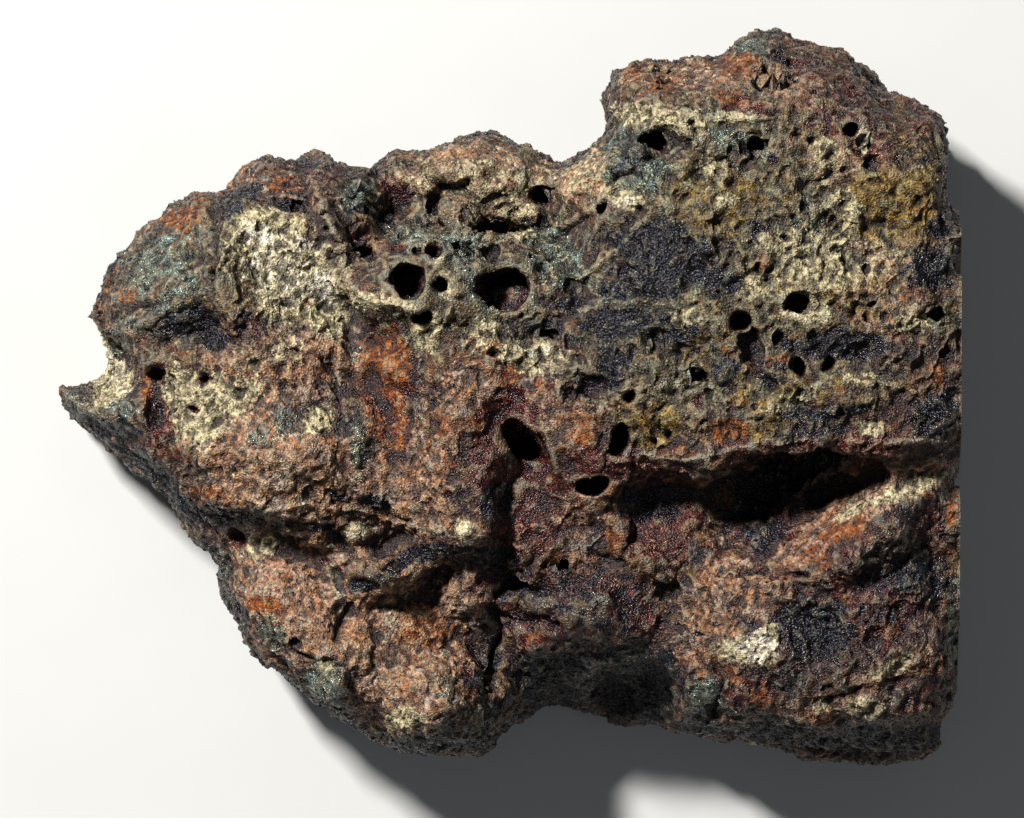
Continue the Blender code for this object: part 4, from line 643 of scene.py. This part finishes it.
def roughen(stone):
    """Weathers the natural skin: lumps, hackly metal and clay, then scales, cups, folds and lines."""
    points = points_of(stone)
    on_back = np.abs(points[:, 2]) < ON_PLANE
    on_side = np.abs(points[:, 0] - SIDE) < ON_PLANE

    # Near a bubble's mouth the skin is calmer, so that the mouth stays crisp.
    calm = np.ones(len(points))
    for mouth in MOUTHS:
        calm = np.minimum(calm, 0.35 + 0.65 * smooth_step(oval_reach(points, mouth), 1.0, 1.8))
    clay = amount_of(FINISHES["clay"], points, 11)
    smooth = amount_of(GROUND["smooth"], points, 12)
    pocked = amount_of(GROUND["pocked"], points, 13)
    lumpy = set_group(stone, "lumpy", calm)
    hackly = set_group(stone, "hackly", calm * (1.0 - 0.4 * clay) * (1.0 - 0.8 * smooth))
    caked = set_group(stone, "caked", calm * clay)
    for group, size, strength, settings in (
            (lumpy, 5.0, 0.8, {"noise_depth": 2}),
            (hackly, 1.5, 0.75, {"noise_depth": 3, "noise_type": "HARD_NOISE"}),
            (caked, 0.9, 1.1, {"noise_depth": 3})):
        apply_modifier(stone, "DISPLACE", texture=clouds(group, size, **settings),
                       strength=strength * MM, mid_level=0.5, texture_coords="LOCAL",
                       vertex_group=group)
    stone.vertex_groups.clear()

    points, normals = points_of(stone), normals_of(stone)
    facing_up = smooth_step(normals[:, 2], 0.05, 0.35)
    rise = np.zeros(len(points))
    # Scales of oxide that end in small steps, lying down the slope to the lower left.
    flow = points @ np.array([[0.8, 0.5, 0], [-0.5, 0.8, 0], [0, 0, 1.0]])
    steps = 2.6 * crumpled(flow * (1.0, 0.45, 1.0), 4.2, 3, 21)
    whole = np.floor(steps)
    rise += 0.34 * calm * (1.0 - 0.5 * smooth) * (whole + smooth_step(steps - whole, 0.75, 1.0) - steps)
    rise += 0.12 * calm * (1.0 + 1.5 * clay) * crumpled(points, 0.95, 2, 31)
    # Cups of two sizes, where the skin is pocked.
    rise -= 0.75 * calm * pocked * pocks(points, 2.6, 0.55, 51)
    rise -= 0.45 * calm * (0.25 + 0.75 * pocked) * pocks(points, 1.5, 0.5, 52)
    # Thin, sharp ridges between hollows.
    fold = 1.0 - np.abs(crumpled(points, 2.4, 3, 33)) * 3.2
    rise += 0.18 * calm * (1.0 - 0.7 * smooth) * np.clip(fold, 0.0, 1.0) ** 2
    draw_lines(points, facing_up, rise)
    for swell in SWELLS:
        rise += facing_up * swell.height * (1.0 - smooth_step(oval_reach(points, swell), 0.45, 1.15))
    # Each bubble has a faint lip, 0.35 outside its rim.
    for mouth in MOUTHS:
        lip = (oval_reach(points, mouth) - 1.0) * 0.5 * (mouth.across + mouth.high) - 0.35
        rise += 0.05 * facing_up * np.exp(-(lip / 0.30) ** 2)
    points += normals * rise[:, None]
    points += wobble(points) * smooth_step(points[:, 2], 0.0, 3.0)[:, None]

    # The saw's planes stay flat.
    points[on_back, 2] = 0.0
    points[on_side, 0] = SIDE
    points[:, 2] = np.maximum(points[:, 2], 0.0)
    points[:, 0] = np.minimum(points[:, 0], SIDE)
    move_points(stone, np.clip(points, LOW, HIGH))


def evened(points, ends, passes):
    """Points, or one value for each, averaged over their neighbours several times."""
    count = np.bincount(ends.ravel(), minlength=len(points)).astype(float)
    columns = []
    for values in points.reshape(len(points), -1).T:
        for _ in range(passes):
            total = np.bincount(ends[:, 0], values[ends[:, 1]], len(values))
            total += np.bincount(ends[:, 1], values[ends[:, 0]], len(values))
            values = 0.5 * values + 0.5 * total / count
        columns.append(values)
    return np.column_stack(columns)


def mark_surface(stone):
    """Writes what the materials read: the finishes, the painted shade of hollows, cracks and undersides,
    and the edges, lips and webs painted pale, partly as wear and partly as painted highlight.
    """
    points, normals = points_of(stone), normals_of(stone)
    ends = np.empty(len(stone.data.edges) * 2, np.int32)
    stone.data.edges.foreach_get("vertices", ends)
    ends = ends.reshape(-1, 2)
    marks = {name: amount_of(FINISHES[name], points, 60 + i) for i, name in enumerate(FINISHES)}
    # How far each point stands out of the skin around it, closely and broadly.
    fine_rise, wide_rise = (
        np.einsum("ij,ij->i", points - evened(points, ends, passes), normals) for passes in (6, 60))
    marks["edge"] = smooth_step(fine_rise, 0.01, 0.11)
    marks["shade"] = np.random.default_rng(7).uniform(size=len(points))
    marks["skin"] = smooth_step(np.minimum(points[:, 2], SIDE - points[:, 0]), 0.3, 0.6)
    # Painted shade: what lies below the skin around it, closely and broadly, is marked to be painted
    # darker.
    marks["hollow"] = np.clip(smooth_step(-fine_rise, 0.01, 0.14) * 0.7
                              + smooth_step(-wide_rise, 0.15, 1.0) * 0.6, 0.0, 1.0)
    # Bubbles are maroon inside and have pale lips, paler where they face up: partly wear and partly
    # painted highlight.
    gap = gap_to_mouths(points)
    facing_up = smooth_step(normals[:, 2], 0.05, 0.4)
    broken = 0.5 + 0.7 * crumpled(points, 2.2, 2, 81)
    marks["lip"] = 0.7 * facing_up * np.clip(broken, 0.0, 1.0) * np.exp(-((gap - 0.1) / 0.2) ** 2)
    # Webs are painted pale along their crests where they face up, partly wear and partly painted
    # highlight, and cracks get painted shade.
    drifted = points + 0.5 * wobble(points)
    for line in LINES:
        mark, width = ("lip", 0.25) if line.height > 0 else ("hollow", 0.30)
        away = line_distance(drifted, line.points) / width
        here = facing_up * np.clip(0.3 + broken, 0.0, 1.0) * np.exp(-away ** 2)
        marks[mark] = np.maximum(marks[mark], here)
    inside = 1.0 - smooth_step(gap, -0.4, 0.0)
    marks["hollow"] *= 1.0 - 0.8 * inside
    marks["red"] = np.maximum(marks["red"], 0.9 * inside)
    # The finishes of the walls take over on what is steep and low.
    wall = 1.0 - smooth_step(evened(normals[:, 2], ends, 40)[:, 0], 0.10, 0.45)
    scoop = amount_of(SCOOP, points, 77)
    wall *= (1.0 - smooth_step(points[:, 2], 14.0, 22.0)) * (1.0 - scoop)
    for number, (name, share) in enumerate(WALLS.items()):
        lumps = np.clip(share * (1.0 + 1.8 * crumpled(points, 8.0, 3, 70 + number)), 0.0, 1.0)
        marks[name] += wall * (lumps - marks[name])
    # Painted shade: what faces sideways or down is painted blue-black and darker, as if in shadow; inside
    # the bubbles too a share is blue-black.
    facing_down_shade = (1.0 - smooth_step(normals[:, 2], 0.0, 0.45)) * (1.0 - scoop)
    marks["dark"] = np.maximum(marks["dark"], np.maximum(0.65 * facing_down_shade, 0.45 * inside))
    marks["hollow"] = np.maximum(marks["hollow"], np.maximum(0.6 * facing_down_shade, 0.45 * marks["dark"]))
    for name in ("clay", "pale", "iron", "drab", "tan", "olive"):
        marks[name] *= 1.0 - 0.85 * inside
    for name, values in marks.items():
        layer = stone.data.attributes.new(name, "FLOAT", "POINT")
        layer.data.foreach_set("value", values.astype(np.float32))


def strew_crystals(stone):
    """Loose crystals of the crust's own oxide, lying at random over the natural skin and half sunk in
    it. They carry the skin's marks, so each is as stained as the skin it sits on."""
    select_only(stone)
    bpy.ops.object.duplicate()
    crystals = bpy.context.active_object
    crystals.name = crystals.data.name = "loose_crystals"
    skin = np.empty(len(crystals.data.vertices), np.float32)
    crystals.data.attributes["skin"].data.foreach_get("value", skin)
    area = 0.0
    for polygon in crystals.data.polygons:
        area += polygon.area * skin[list(polygon.vertices)].mean()
    tree = bpy.data.node_groups.new("strew", "GeometryNodeTree")
    for way in ("INPUT", "OUTPUT"):
        tree.interface.new_socket("Geometry", in_out=way, socket_type="NodeSocketGeometry")
    start = add(tree, "NodeGroupInput")
    where = add(tree, "GeometryNodeInputNamedAttribute", {"Name": "skin"}, data_type="FLOAT")
    density = add(tree, "ShaderNodeMath", {0: where, 1: CRYSTAL_TRIANGLES / 4 / area},
                  operation="MULTIPLY")
    spots = add(tree, "GeometryNodeDistributePointsOnFaces", {
        "Mesh": start, "Density": density, "Seed": 5})
    shade = add(tree, "FunctionNodeRandomValue", {2: 0.0, 3: 1.0, "Seed": 5}, data_type="FLOAT")
    shaded = add(tree, "GeometryNodeStoreNamedAttribute", {
        "Geometry": spots, "Name": "shade", "Value": shade}, data_type="FLOAT", domain="POINT")
    tilt = add(tree, "FunctionNodeRandomValue", {
        0: (-0.8, -0.8, -math.pi), 1: (0.8, 0.8, math.pi), "Seed": 6}, data_type="FLOAT_VECTOR")
    lean = add(tree, "FunctionNodeEulerToRotation", {0: tilt})
    turn = add(tree, "FunctionNodeRotateRotation", {0: spots.outputs["Rotation"], 1: lean},
               rotation_space="LOCAL")
    size = add(tree, "FunctionNodeRandomValue", {
        0: (0.6 * CRYSTAL * MM, 0.6 * CRYSTAL * MM, 0.25 * CRYSTAL * MM),
        1: (1.3 * CRYSTAL * MM, 1.3 * CRYSTAL * MM, 0.5 * CRYSTAL * MM), "Seed": 7},
        data_type="FLOAT_VECTOR")
    splinter = add(tree, "GeometryNodeMeshCone", {
        "Vertices": 3, "Radius Top": 0.0, "Radius Bottom": 0.6, "Depth": 1.0})
    placed = add(tree, "GeometryNodeInstanceOnPoints", {
        "Points": shaded, "Instance": splinter, "Rotation": turn, "Scale": size})
    solid = add(tree, "GeometryNodeRealizeInstances", {0: placed})
    painted = add(tree, "GeometryNodeSetMaterial", {
        "Geometry": solid, "Material": stone.data.materials[0]})
    add(tree, "NodeGroupOutput", {0: painted})
    apply_modifier(crystals, "NODES", node_group=tree)
    move_points(crystals, np.clip(points_of(crystals), LOW, HIGH))
    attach(crystals, "root")


def build_stone():
    stone = copy_of_solid()
    soften_facets(stone)
    silt_up(stone)
    cut_pits(stone)
    voxel_remesh(stone, FINE_VOXEL)
    saw(stone)
    roughen(stone)
    triangles = sum(len(p.vertices) - 2 for p in stone.data.polygons)
    apply_modifier(stone, "DECIMATE", ratio=STONE_TRIANGLES / triangles,
                   use_collapse_triangulate=True)
    points = points_of(stone)
    points[points[:, 2] < SNAP, 2] = 0.0
    points[points[:, 0] > SIDE - SNAP, 0] = SIDE
    move_points(stone, np.clip(points, LOW, HIGH))
    return stone


# ---------------------------------------------------------------------------------- materials
#
# Sockets by number: of Map Range 0 is the value, 1 and 2 are the range it comes from and 3 and 4 the
# range it goes to; of Mix 0 is the share, 2 and 3 are numbers and 6 and 7 colours.


def linear(code):
    """An sRGB hex colour as linear RGBA."""
    parts = [int(code[i:i + 2], 16) / 255 for i in (1, 3, 5)]
    return [p / 12.92 if p <= 0.04045 else ((p + 0.055) / 1.055) ** 2.4 for p in parts] + [1.0]


def add(tree, kind, sockets=None, **settings):
    """Adds a node. A socket gets a value, or a link where it is given an output or another node, of
    which it takes the first output in use."""
    made = tree.nodes.new(kind)
    for name, value in settings.items():
        setattr(made, name, value)
    for name, value in (sockets or {}).items():
        if isinstance(value, bpy.types.Node):
            value = next(output for output in value.outputs if output.enabled)
        if isinstance(value, bpy.types.NodeSocket):
            tree.links.new(value, made.inputs[name])
        else:
            made.inputs[name].default_value = value
    return made


def new_material(name):
    made = bpy.data.materials.new(name)
    made.use_nodes = True
    made.node_tree.nodes.clear()
    return made, made.node_tree


def place_in_mm(tree):
    """The place on the stone, so that a pattern's scale is 1 over its size in mm."""
    place = add(tree, "ShaderNodeTexCoord").outputs["Object"]
    return add(tree, "ShaderNodeVectorMath", {0: place, "Scale": 1 / MM}, operation="SCALE")


def set_ramp(ramp, *stops):
    """Gives a new ramp its three colours, from left to right."""
    ramp.color_ramp.elements.new(0.5)
    for element, (position, code) in zip(ramp.color_ramp.elements, stops):
        element.position, element.color = position, linear(code)


# The finishes from the bottom up. The mark is the attribute that says where a finish lies, and the size
# is that of its pattern.
Finish = namedtuple("Finish", "mark dull bright size roughness metal")
LAYERS = [Finish(*row) for row in (
    ("drab", "#141215", "#807558", 1.4, 0.60, 0.0),
    ("tan", "#38251f", "#be9d84", 1.4, 0.75, 0.0),
    ("olive", "#2e2412", "#9c8450", 1.3, 0.70, 0.0),
    ("red", "#170a10", "#643026", 1.3, 0.40, 0.0),
    ("rust", "#34160c", "#a2602e", 0.9, 0.80, 0.0),
    ("iron", "#182026", "#8f9a8a", 1.2, 0.30, 0.45),
    ("dark", "#05060b", "#2b303c", 1.3, 0.30, 0.30),
    ("clay", "#4f4634", "#dacc9f", 0.9, 0.95, 0.0),
    ("pale", "#a0947c", "#ece6d6", 0.7, 0.95, 0.0),
)]
SOFT = 0.16  # how soft the edges of a finish are
CELL = 0.26  # width of an oxide crystal in the crust


def crust_material():
    """Weathered meteoritic iron: rusted, scaly oxide over metal, with clay caked in its hollows.
    The eye sees many small crystals, some of them glinting, in patches of brown, rust and cream."""
    made, tree = new_material("weathered_iron_crust")
    in_mm = place_in_mm(tree)
    skin = {name: add(tree, "ShaderNodeAttribute", attribute_name=name).outputs["Fac"]
            for name in ("shade", "hollow", "edge", "lip")}
    # Patterns, with the size of their lumps in mm: the ground's colour, patches from dull to bright,
    # thin films on the oxide, and grit.
    pattern = {name: add(tree, "ShaderNodeTexNoise", {
        "Vector": in_mm, "Scale": 1 / size, "Detail": detail, "Roughness": rough})
        for name, size, detail, rough in (
            ("ground", 5.0, 6.0, 0.7), ("mottle", 2.0, 6.0, 0.8), ("film", 2.0, 4.0, 0.70),
            ("grit", 0.6, 4.0, 0.8))}
    grit = pattern["grit"]
    # Oxide crystals: each cell has a shade of its own.
    crystals = add(tree, "ShaderNodeTexVoronoi", {"Vector": in_mm, "Scale": 1 / CELL})
    cell = add(tree, "ShaderNodeSeparateColor", {0: crystals.outputs["Color"]}).outputs
    shade = add(tree, "ShaderNodeMix", {0: 0.5, 2: cell[1], 3: skin["shade"]}, data_type="FLOAT")
    # Hackly metal: thin, sharp folds about 1 mm apart.
    folds = add(tree, "ShaderNodeTexNoise", {
        "Vector": in_mm, "Scale": 1 / 1.1, "Detail": 5.0, "Roughness": 0.6, "Distortion": 0.4},
        noise_type="RIDGED_MULTIFRACTAL")
    folds = add(tree, "ShaderNodeMapRange", {0: folds, 1: 0.4, 2: 2.2})
    # From dull to bright: the mottle, each crystal's own shade and the folds.
    mottle = add(tree, "ShaderNodeMapRange", {0: pattern["mottle"], 1: 0.32, 2: 0.68}, clamp=False)
    tone = add(tree, "ShaderNodeMix", {0: 0.4, 2: mottle, 3: shade}, data_type="FLOAT")
    tone = add(tree, "ShaderNodeMix", {0: 0.3, 2: tone, 3: folds}, data_type="FLOAT")
    colour = add(tree, "ShaderNodeValToRGB", {0: pattern["ground"]})
    set_ramp(colour, (0.34, "#120a10"), (0.5, "#33201b"), (0.68, "#6e523a"))
    roughness = add(tree, "ShaderNodeMapRange", {0: grit, 1: 0.3, 2: 0.7, 3: 0.4, 4: 0.8})
    metal = 0.0
    # The films tint the oxide from rusty to steel blue.
    film = add(tree, "ShaderNodeMapRange", {0: pattern["film"], 1: 0.36, 2: 0.64})
    hue = add(tree, "ShaderNodeMix", {0: 0.35, 2: film, 3: cell[2]}, data_type="FLOAT")
    tint = add(tree, "ShaderNodeMix", {0: hue, 6: linear("#fbddc2"), 7: linear("#c2dcf2")},
               data_type="RGBA")
    tint = add(tree, "ShaderNodeVectorMath", {0: tint, "Scale": 1.3}, operation="SCALE")
    for number, layer in enumerate(LAYERS):
        if layer.mark == "clay":
            colour = add(tree, "ShaderNodeVectorMath", {0: colour, 1: tint}, operation="MULTIPLY")
            colour = add(tree, "ShaderNodeHueSaturation", {"Saturation": 1.2, "Color": colour})
        amount = add(tree, "ShaderNodeAttribute", attribute_name=layer.mark).outputs["Fac"]
        shift = add(tree, "ShaderNodeVectorMath", {0: in_mm, 1: (37.0 * number, 11.0, -23.0 * number)},
                    operation="ADD")
        # The finish's own pattern, spread to 0 to 1, with some of each crystal's chance in it.
        spread = add(tree, "ShaderNodeTexNoise", {
            "Vector": shift, "Scale": 1 / layer.size, "Detail": 4.0, "Roughness": 0.75})
        spread = add(tree, "ShaderNodeMapRange", {0: spread, 1: 0.33, 2: 0.67}, clamp=False)
        chance = add(tree, "ShaderNodeMix", {0: 0.12, 2: spread, 3: cell[number % 3]},
                     data_type="FLOAT")
        full = 1.0 + 2.0 * SOFT
        reach = add(tree, "ShaderNodeMath", {0: amount, 1: full, 2: chance}, operation="MULTIPLY_ADD")
        mask = add(tree, "ShaderNodeMapRange", {0: reach, 1: 1.0, 2: full},
                   interpolation_type="SMOOTHSTEP")
        bare = add(tree, "ShaderNodeMath", {0: amount, 1: 0.02}, operation="GREATER_THAN")
        mask = add(tree, "ShaderNodeMath", {0: mask, 1: bare}, operation="MULTIPLY")
        coat = add(tree, "ShaderNodeMix", {0: tone, 6: linear(layer.dull), 7: linear(layer.bright)},
                   data_type="RGBA")
        colour = add(tree, "ShaderNodeMix", {0: mask, 6: colour, 7: coat}, data_type="RGBA")
        roughness = add(tree, "ShaderNodeMix", {0: mask, 2: roughness, 3: layer.roughness},
                        data_type="FLOAT")
        metal = add(tree, "ShaderNodeMix", {0: mask, 2: metal, 3: layer.metal}, data_type="FLOAT")
    # Crystals darken or lighten the coat. The grit and the folds also raise the bump, so this is partly
    # painted shade in the small crevices and painted light on the crests. Painted shade darkens the
    # hollows, cracks and undersides and tints them maroon.
    speckle = add(tree, "ShaderNodeMath", {0: shade, 1: 0.5, 2: grit}, operation="MULTIPLY_ADD")
    speckle = add(tree, "ShaderNodeMath", {0: folds, 1: 0.30, 2: speckle}, operation="MULTIPLY_ADD")
    gain = add(tree, "ShaderNodeMapRange", {0: speckle, 1: 0.5, 2: 1.3, 3: 0.05, 4: 3.35})
    shadow = add(tree, "ShaderNodeMapRange", {0: skin["hollow"], 1: 0.0, 2: 1.0, 3: 1.1, 4: 0.18})
    gain = add(tree, "ShaderNodeMath", {0: gain, 1: shadow}, operation="MULTIPLY")
    colour = add(tree, "ShaderNodeVectorMath", {0: colour, "Scale": gain}, operation="SCALE")
    painted_shade_tint = add(tree, "ShaderNodeMath", {0: skin["hollow"], 1: 0.55}, operation="MULTIPLY")
    colour = add(tree, "ShaderNodeMix", {0: painted_shade_tint, 6: colour, 7: linear("#1a0e14")}, data_type="RGBA")
    # Painted highlights, partly wear: pale on raised edges, on lips and webs, and on the crests of the
    # folds, which stand in for glints, and on the few crystals that are pale, which also stand in for
    # glints; none in the painted shade of the hollows.
    lit_and_rubbed = add(tree, "ShaderNodeMath", {0: skin["edge"], 1: grit}, operation="MULTIPLY")
    lit_and_rubbed = add(tree, "ShaderNodeMath", {0: skin["lip"], 1: 0.4, 2: lit_and_rubbed}, operation="MULTIPLY_ADD")
    lit_and_rubbed = add(tree, "ShaderNodeMapRange", {0: lit_and_rubbed, 1: 0.25, 2: 0.75, 3: 0.0, 4: 0.55})
    fleck = add(tree, "ShaderNodeMapRange", {0: shade, 1: 0.80, 2: 0.9, 3: 0.0, 4: 0.6})
    pale = add(tree, "ShaderNodeMath", {0: lit_and_rubbed, 1: fleck}, operation="MAXIMUM")
    fold_glint = add(tree, "ShaderNodeMapRange", {0: folds, 1: 0.72, 2: 1.0, 3: 0.0, 4: 0.5})
    fold_glint = add(tree, "ShaderNodeMath", {0: fold_glint, 1: tone}, operation="MULTIPLY")
    pale = add(tree, "ShaderNodeMath", {0: pale, 1: fold_glint}, operation="MAXIMUM")
    out_of_shade = add(tree, "ShaderNodeMapRange", {0: skin["hollow"], 1: 0.0, 2: 0.9, 3: 1.0, 4: 0.1})
    pale = add(tree, "ShaderNodeMath", {0: pale, 1: out_of_shade}, operation="MULTIPLY")
    highlight_and_wear = add(tree, "ShaderNodeMix", {0: film, 6: linear("#ae9670"), 7: linear("#989a88")},
               data_type="RGBA")
    colour = add(tree, "ShaderNodeMix", {0: pale, 6: colour, 7: highlight_and_wear}, data_type="RGBA")
    # Some crystals are bright, smooth faces that glint.
    glint = add(tree, "ShaderNodeMapRange", {0: cell[0], 1: 0.55, 2: 0.95, 3: 1.0, 4: 0.45})
    roughness = add(tree, "ShaderNodeMath", {0: roughness, 1: glint}, operation="MULTIPLY")
    # The faces of the crystals, the grit and the folds stand up to 0.2 mm high.
    height = add(tree, "ShaderNodeMath", {0: crystals, 1: -0.8, 2: grit}, operation="MULTIPLY_ADD")
    height = add(tree, "ShaderNodeMath", {0: folds, 1: 1.2, 2: height}, operation="MULTIPLY_ADD")
    bump = add(tree, "ShaderNodeBump", {"Strength": 1.0, "Distance": 0.20 * MM, "Height": height})
    finish = add(tree, "ShaderNodeBsdfPrincipled", {
        "Base Color": colour, "Roughness": roughness, "Metallic": metal, "Normal": bump})
    add(tree, "ShaderNodeOutputMaterial", {"Surface": finish})
    return made


def sawn_material():
    """Sawn meteoritic iron, stained by years of storage: dull grey-brown metal with fine saw marks."""
    made, tree = new_material("stained_sawn_iron")
    in_mm = place_in_mm(tree)
    stain = add(tree, "ShaderNodeTexNoise", {
        "Vector": in_mm, "Scale": 1 / 9.0, "Detail": 6.0, "Roughness": 0.6})
    colour = add(tree, "ShaderNodeValToRGB", {0: stain})
    set_ramp(colour, (0.36, "#6f6b64"), (0.52, "#5d5349"), (0.66, "#4a2f22"))
    # Saw marks, 0.4 mm apart across the width. At scale 1 a wave repeats every 0.32.
    lines = add(tree, "ShaderNodeTexWave", {
        "Vector": in_mm, "Scale": 0.32 / 0.4, "Distortion": 1.2, "Detail": 2.0, "Detail Scale": 0.4},
        wave_type="BANDS", bands_direction="Y")
    marks = add(tree, "ShaderNodeBump", {
        "Strength": 0.5, "Distance": 0.03 * MM, "Height": lines.outputs["Fac"]})
    rough = add(tree, "ShaderNodeMapRange", {0: stain, 1: 0.4, 2: 0.65, 3: 0.36, 4: 0.7})
    metal = add(tree, "ShaderNodeMapRange", {0: stain, 1: 0.45, 2: 0.65, 3: 0.9, 4: 0.25})
    finish = add(tree, "ShaderNodeBsdfPrincipled", {
        "Base Color": colour, "Roughness": rough, "Metallic": metal, "Normal": marks})
    add(tree, "ShaderNodeOutputMaterial", {"Surface": finish})
    return made


def dress(stone):
    """Crust on the natural skin and sawn metal on the two flats."""
    stone.data.materials.clear()
    stone.data.materials.append(crust_material())
    stone.data.materials.append(sawn_material())
    points = points_of(stone)
    corners = np.empty(len(stone.data.polygons) * 3, np.int32)
    stone.data.polygons.foreach_get("vertices", corners)
    across, _, height = np.moveaxis(points[corners].reshape(-1, 3, 3), 2, 0)
    flat = (height.max(1) < ON_PLANE) | (across.min(1) > SIDE - ON_PLANE)
    stone.data.polygons.foreach_set("material_index", flat.astype(np.int32))
    stone.data.update()
    select_only(stone)
    bpy.ops.object.shade_smooth_by_angle(angle=math.radians(SMOOTH_ANGLE))
    stone.data.polygons.foreach_set("use_smooth", ~flat)


# ------------------------------------------------------------------------- floor, light and camera

# In metres: a height halfway up the stone, the camera's height, and the width and the middle of what it
# sees at that halfway height.
MID_HEIGHT = 15 * MM
CAMERA_HEIGHT = 1.5
VIEW_WIDTH = 113.78 * MM
VIEW_MIDDLE = (0.556 * MM, -1.333 * MM)


def place_in_scene(name, data, place):
    """Adds a light or a camera, which looks straight down until it is turned."""
    made = bpy.data.objects.new(name, data)
    bpy.context.scene.collection.objects.link(made)
    made.location = place
    return made


def lay_floor():
    bpy.ops.object.select_all(action="DESELECT")
    bpy.ops.mesh.primitive_plane_add(size=6.0, location=(0, 0, -0.05 * MM))
    floor = bpy.context.active_object
    floor.name = "floor"
    made, tree = new_material("pale_paper")
    fibre = add(tree, "ShaderNodeTexNoise", {"Scale": 400.0, "Detail": 2.0})
    tone = add(tree, "ShaderNodeMix", {0: fibre, 6: linear("#c3c3c1"), 7: linear("#c8c8c6")},
               data_type="RGBA")
    paper = add(tree, "ShaderNodeBsdfPrincipled", {"Base Color": tone, "Roughness": 0.9})
    add(tree, "ShaderNodeOutputMaterial", {"Surface": paper})
    floor.data.materials.append(made)


def light_studio():
    """A small key light from the upper left, a large, weak fill and a faint sky."""
    aim = Vector((0, 0, MID_HEIGHT))
    for name, place, size, power, tint in (
            ("key", (-0.40, 0.42, 0.60), 0.10, 15.0, (1.0, 0.98, 0.95)),
            ("fill", (0.7, -0.5, 0.9), 0.8, 1.2, (0.86, 0.92, 1.0))):
        lamp = bpy.data.lights.new(name, "AREA")
        lamp.size, lamp.energy, lamp.color = size, power, tint
        holder = place_in_scene(name, lamp, place)
        holder.rotation_euler = (aim - Vector(place)).to_track_quat("-Z", "Y").to_euler()
        holder.visible_camera = False
    world = bpy.data.worlds.new("studio")
    bpy.context.scene.world = world
    world.use_nodes = True
    sky = world.node_tree.nodes["Background"]
    sky.inputs["Color"].default_value = (0.9, 0.95, 1.0, 1.0)
    sky.inputs["Strength"].default_value = 0.07


def aim_camera():
    """The camera looks straight down at the natural face through a long lens."""
    lens = bpy.data.cameras.new("camera")
    bpy.context.scene.camera = place_in_scene("camera", lens, (*VIEW_MIDDLE, CAMERA_HEIGHT))
    lens.sensor_width = 36.0
    lens.lens = lens.sensor_width * (CAMERA_HEIGHT - MID_HEIGHT) / VIEW_WIDTH
    lens.clip_start, lens.clip_end = 0.1, 10.0
    bpy.context.scene.view_settings.view_transform = "Standard"


stone = build_stone()
mark_surface(stone)
dress(stone)
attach(stone, "root")
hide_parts("meteorite")
strew_crystals(stone)
lay_floor()
light_studio()
aim_camera()
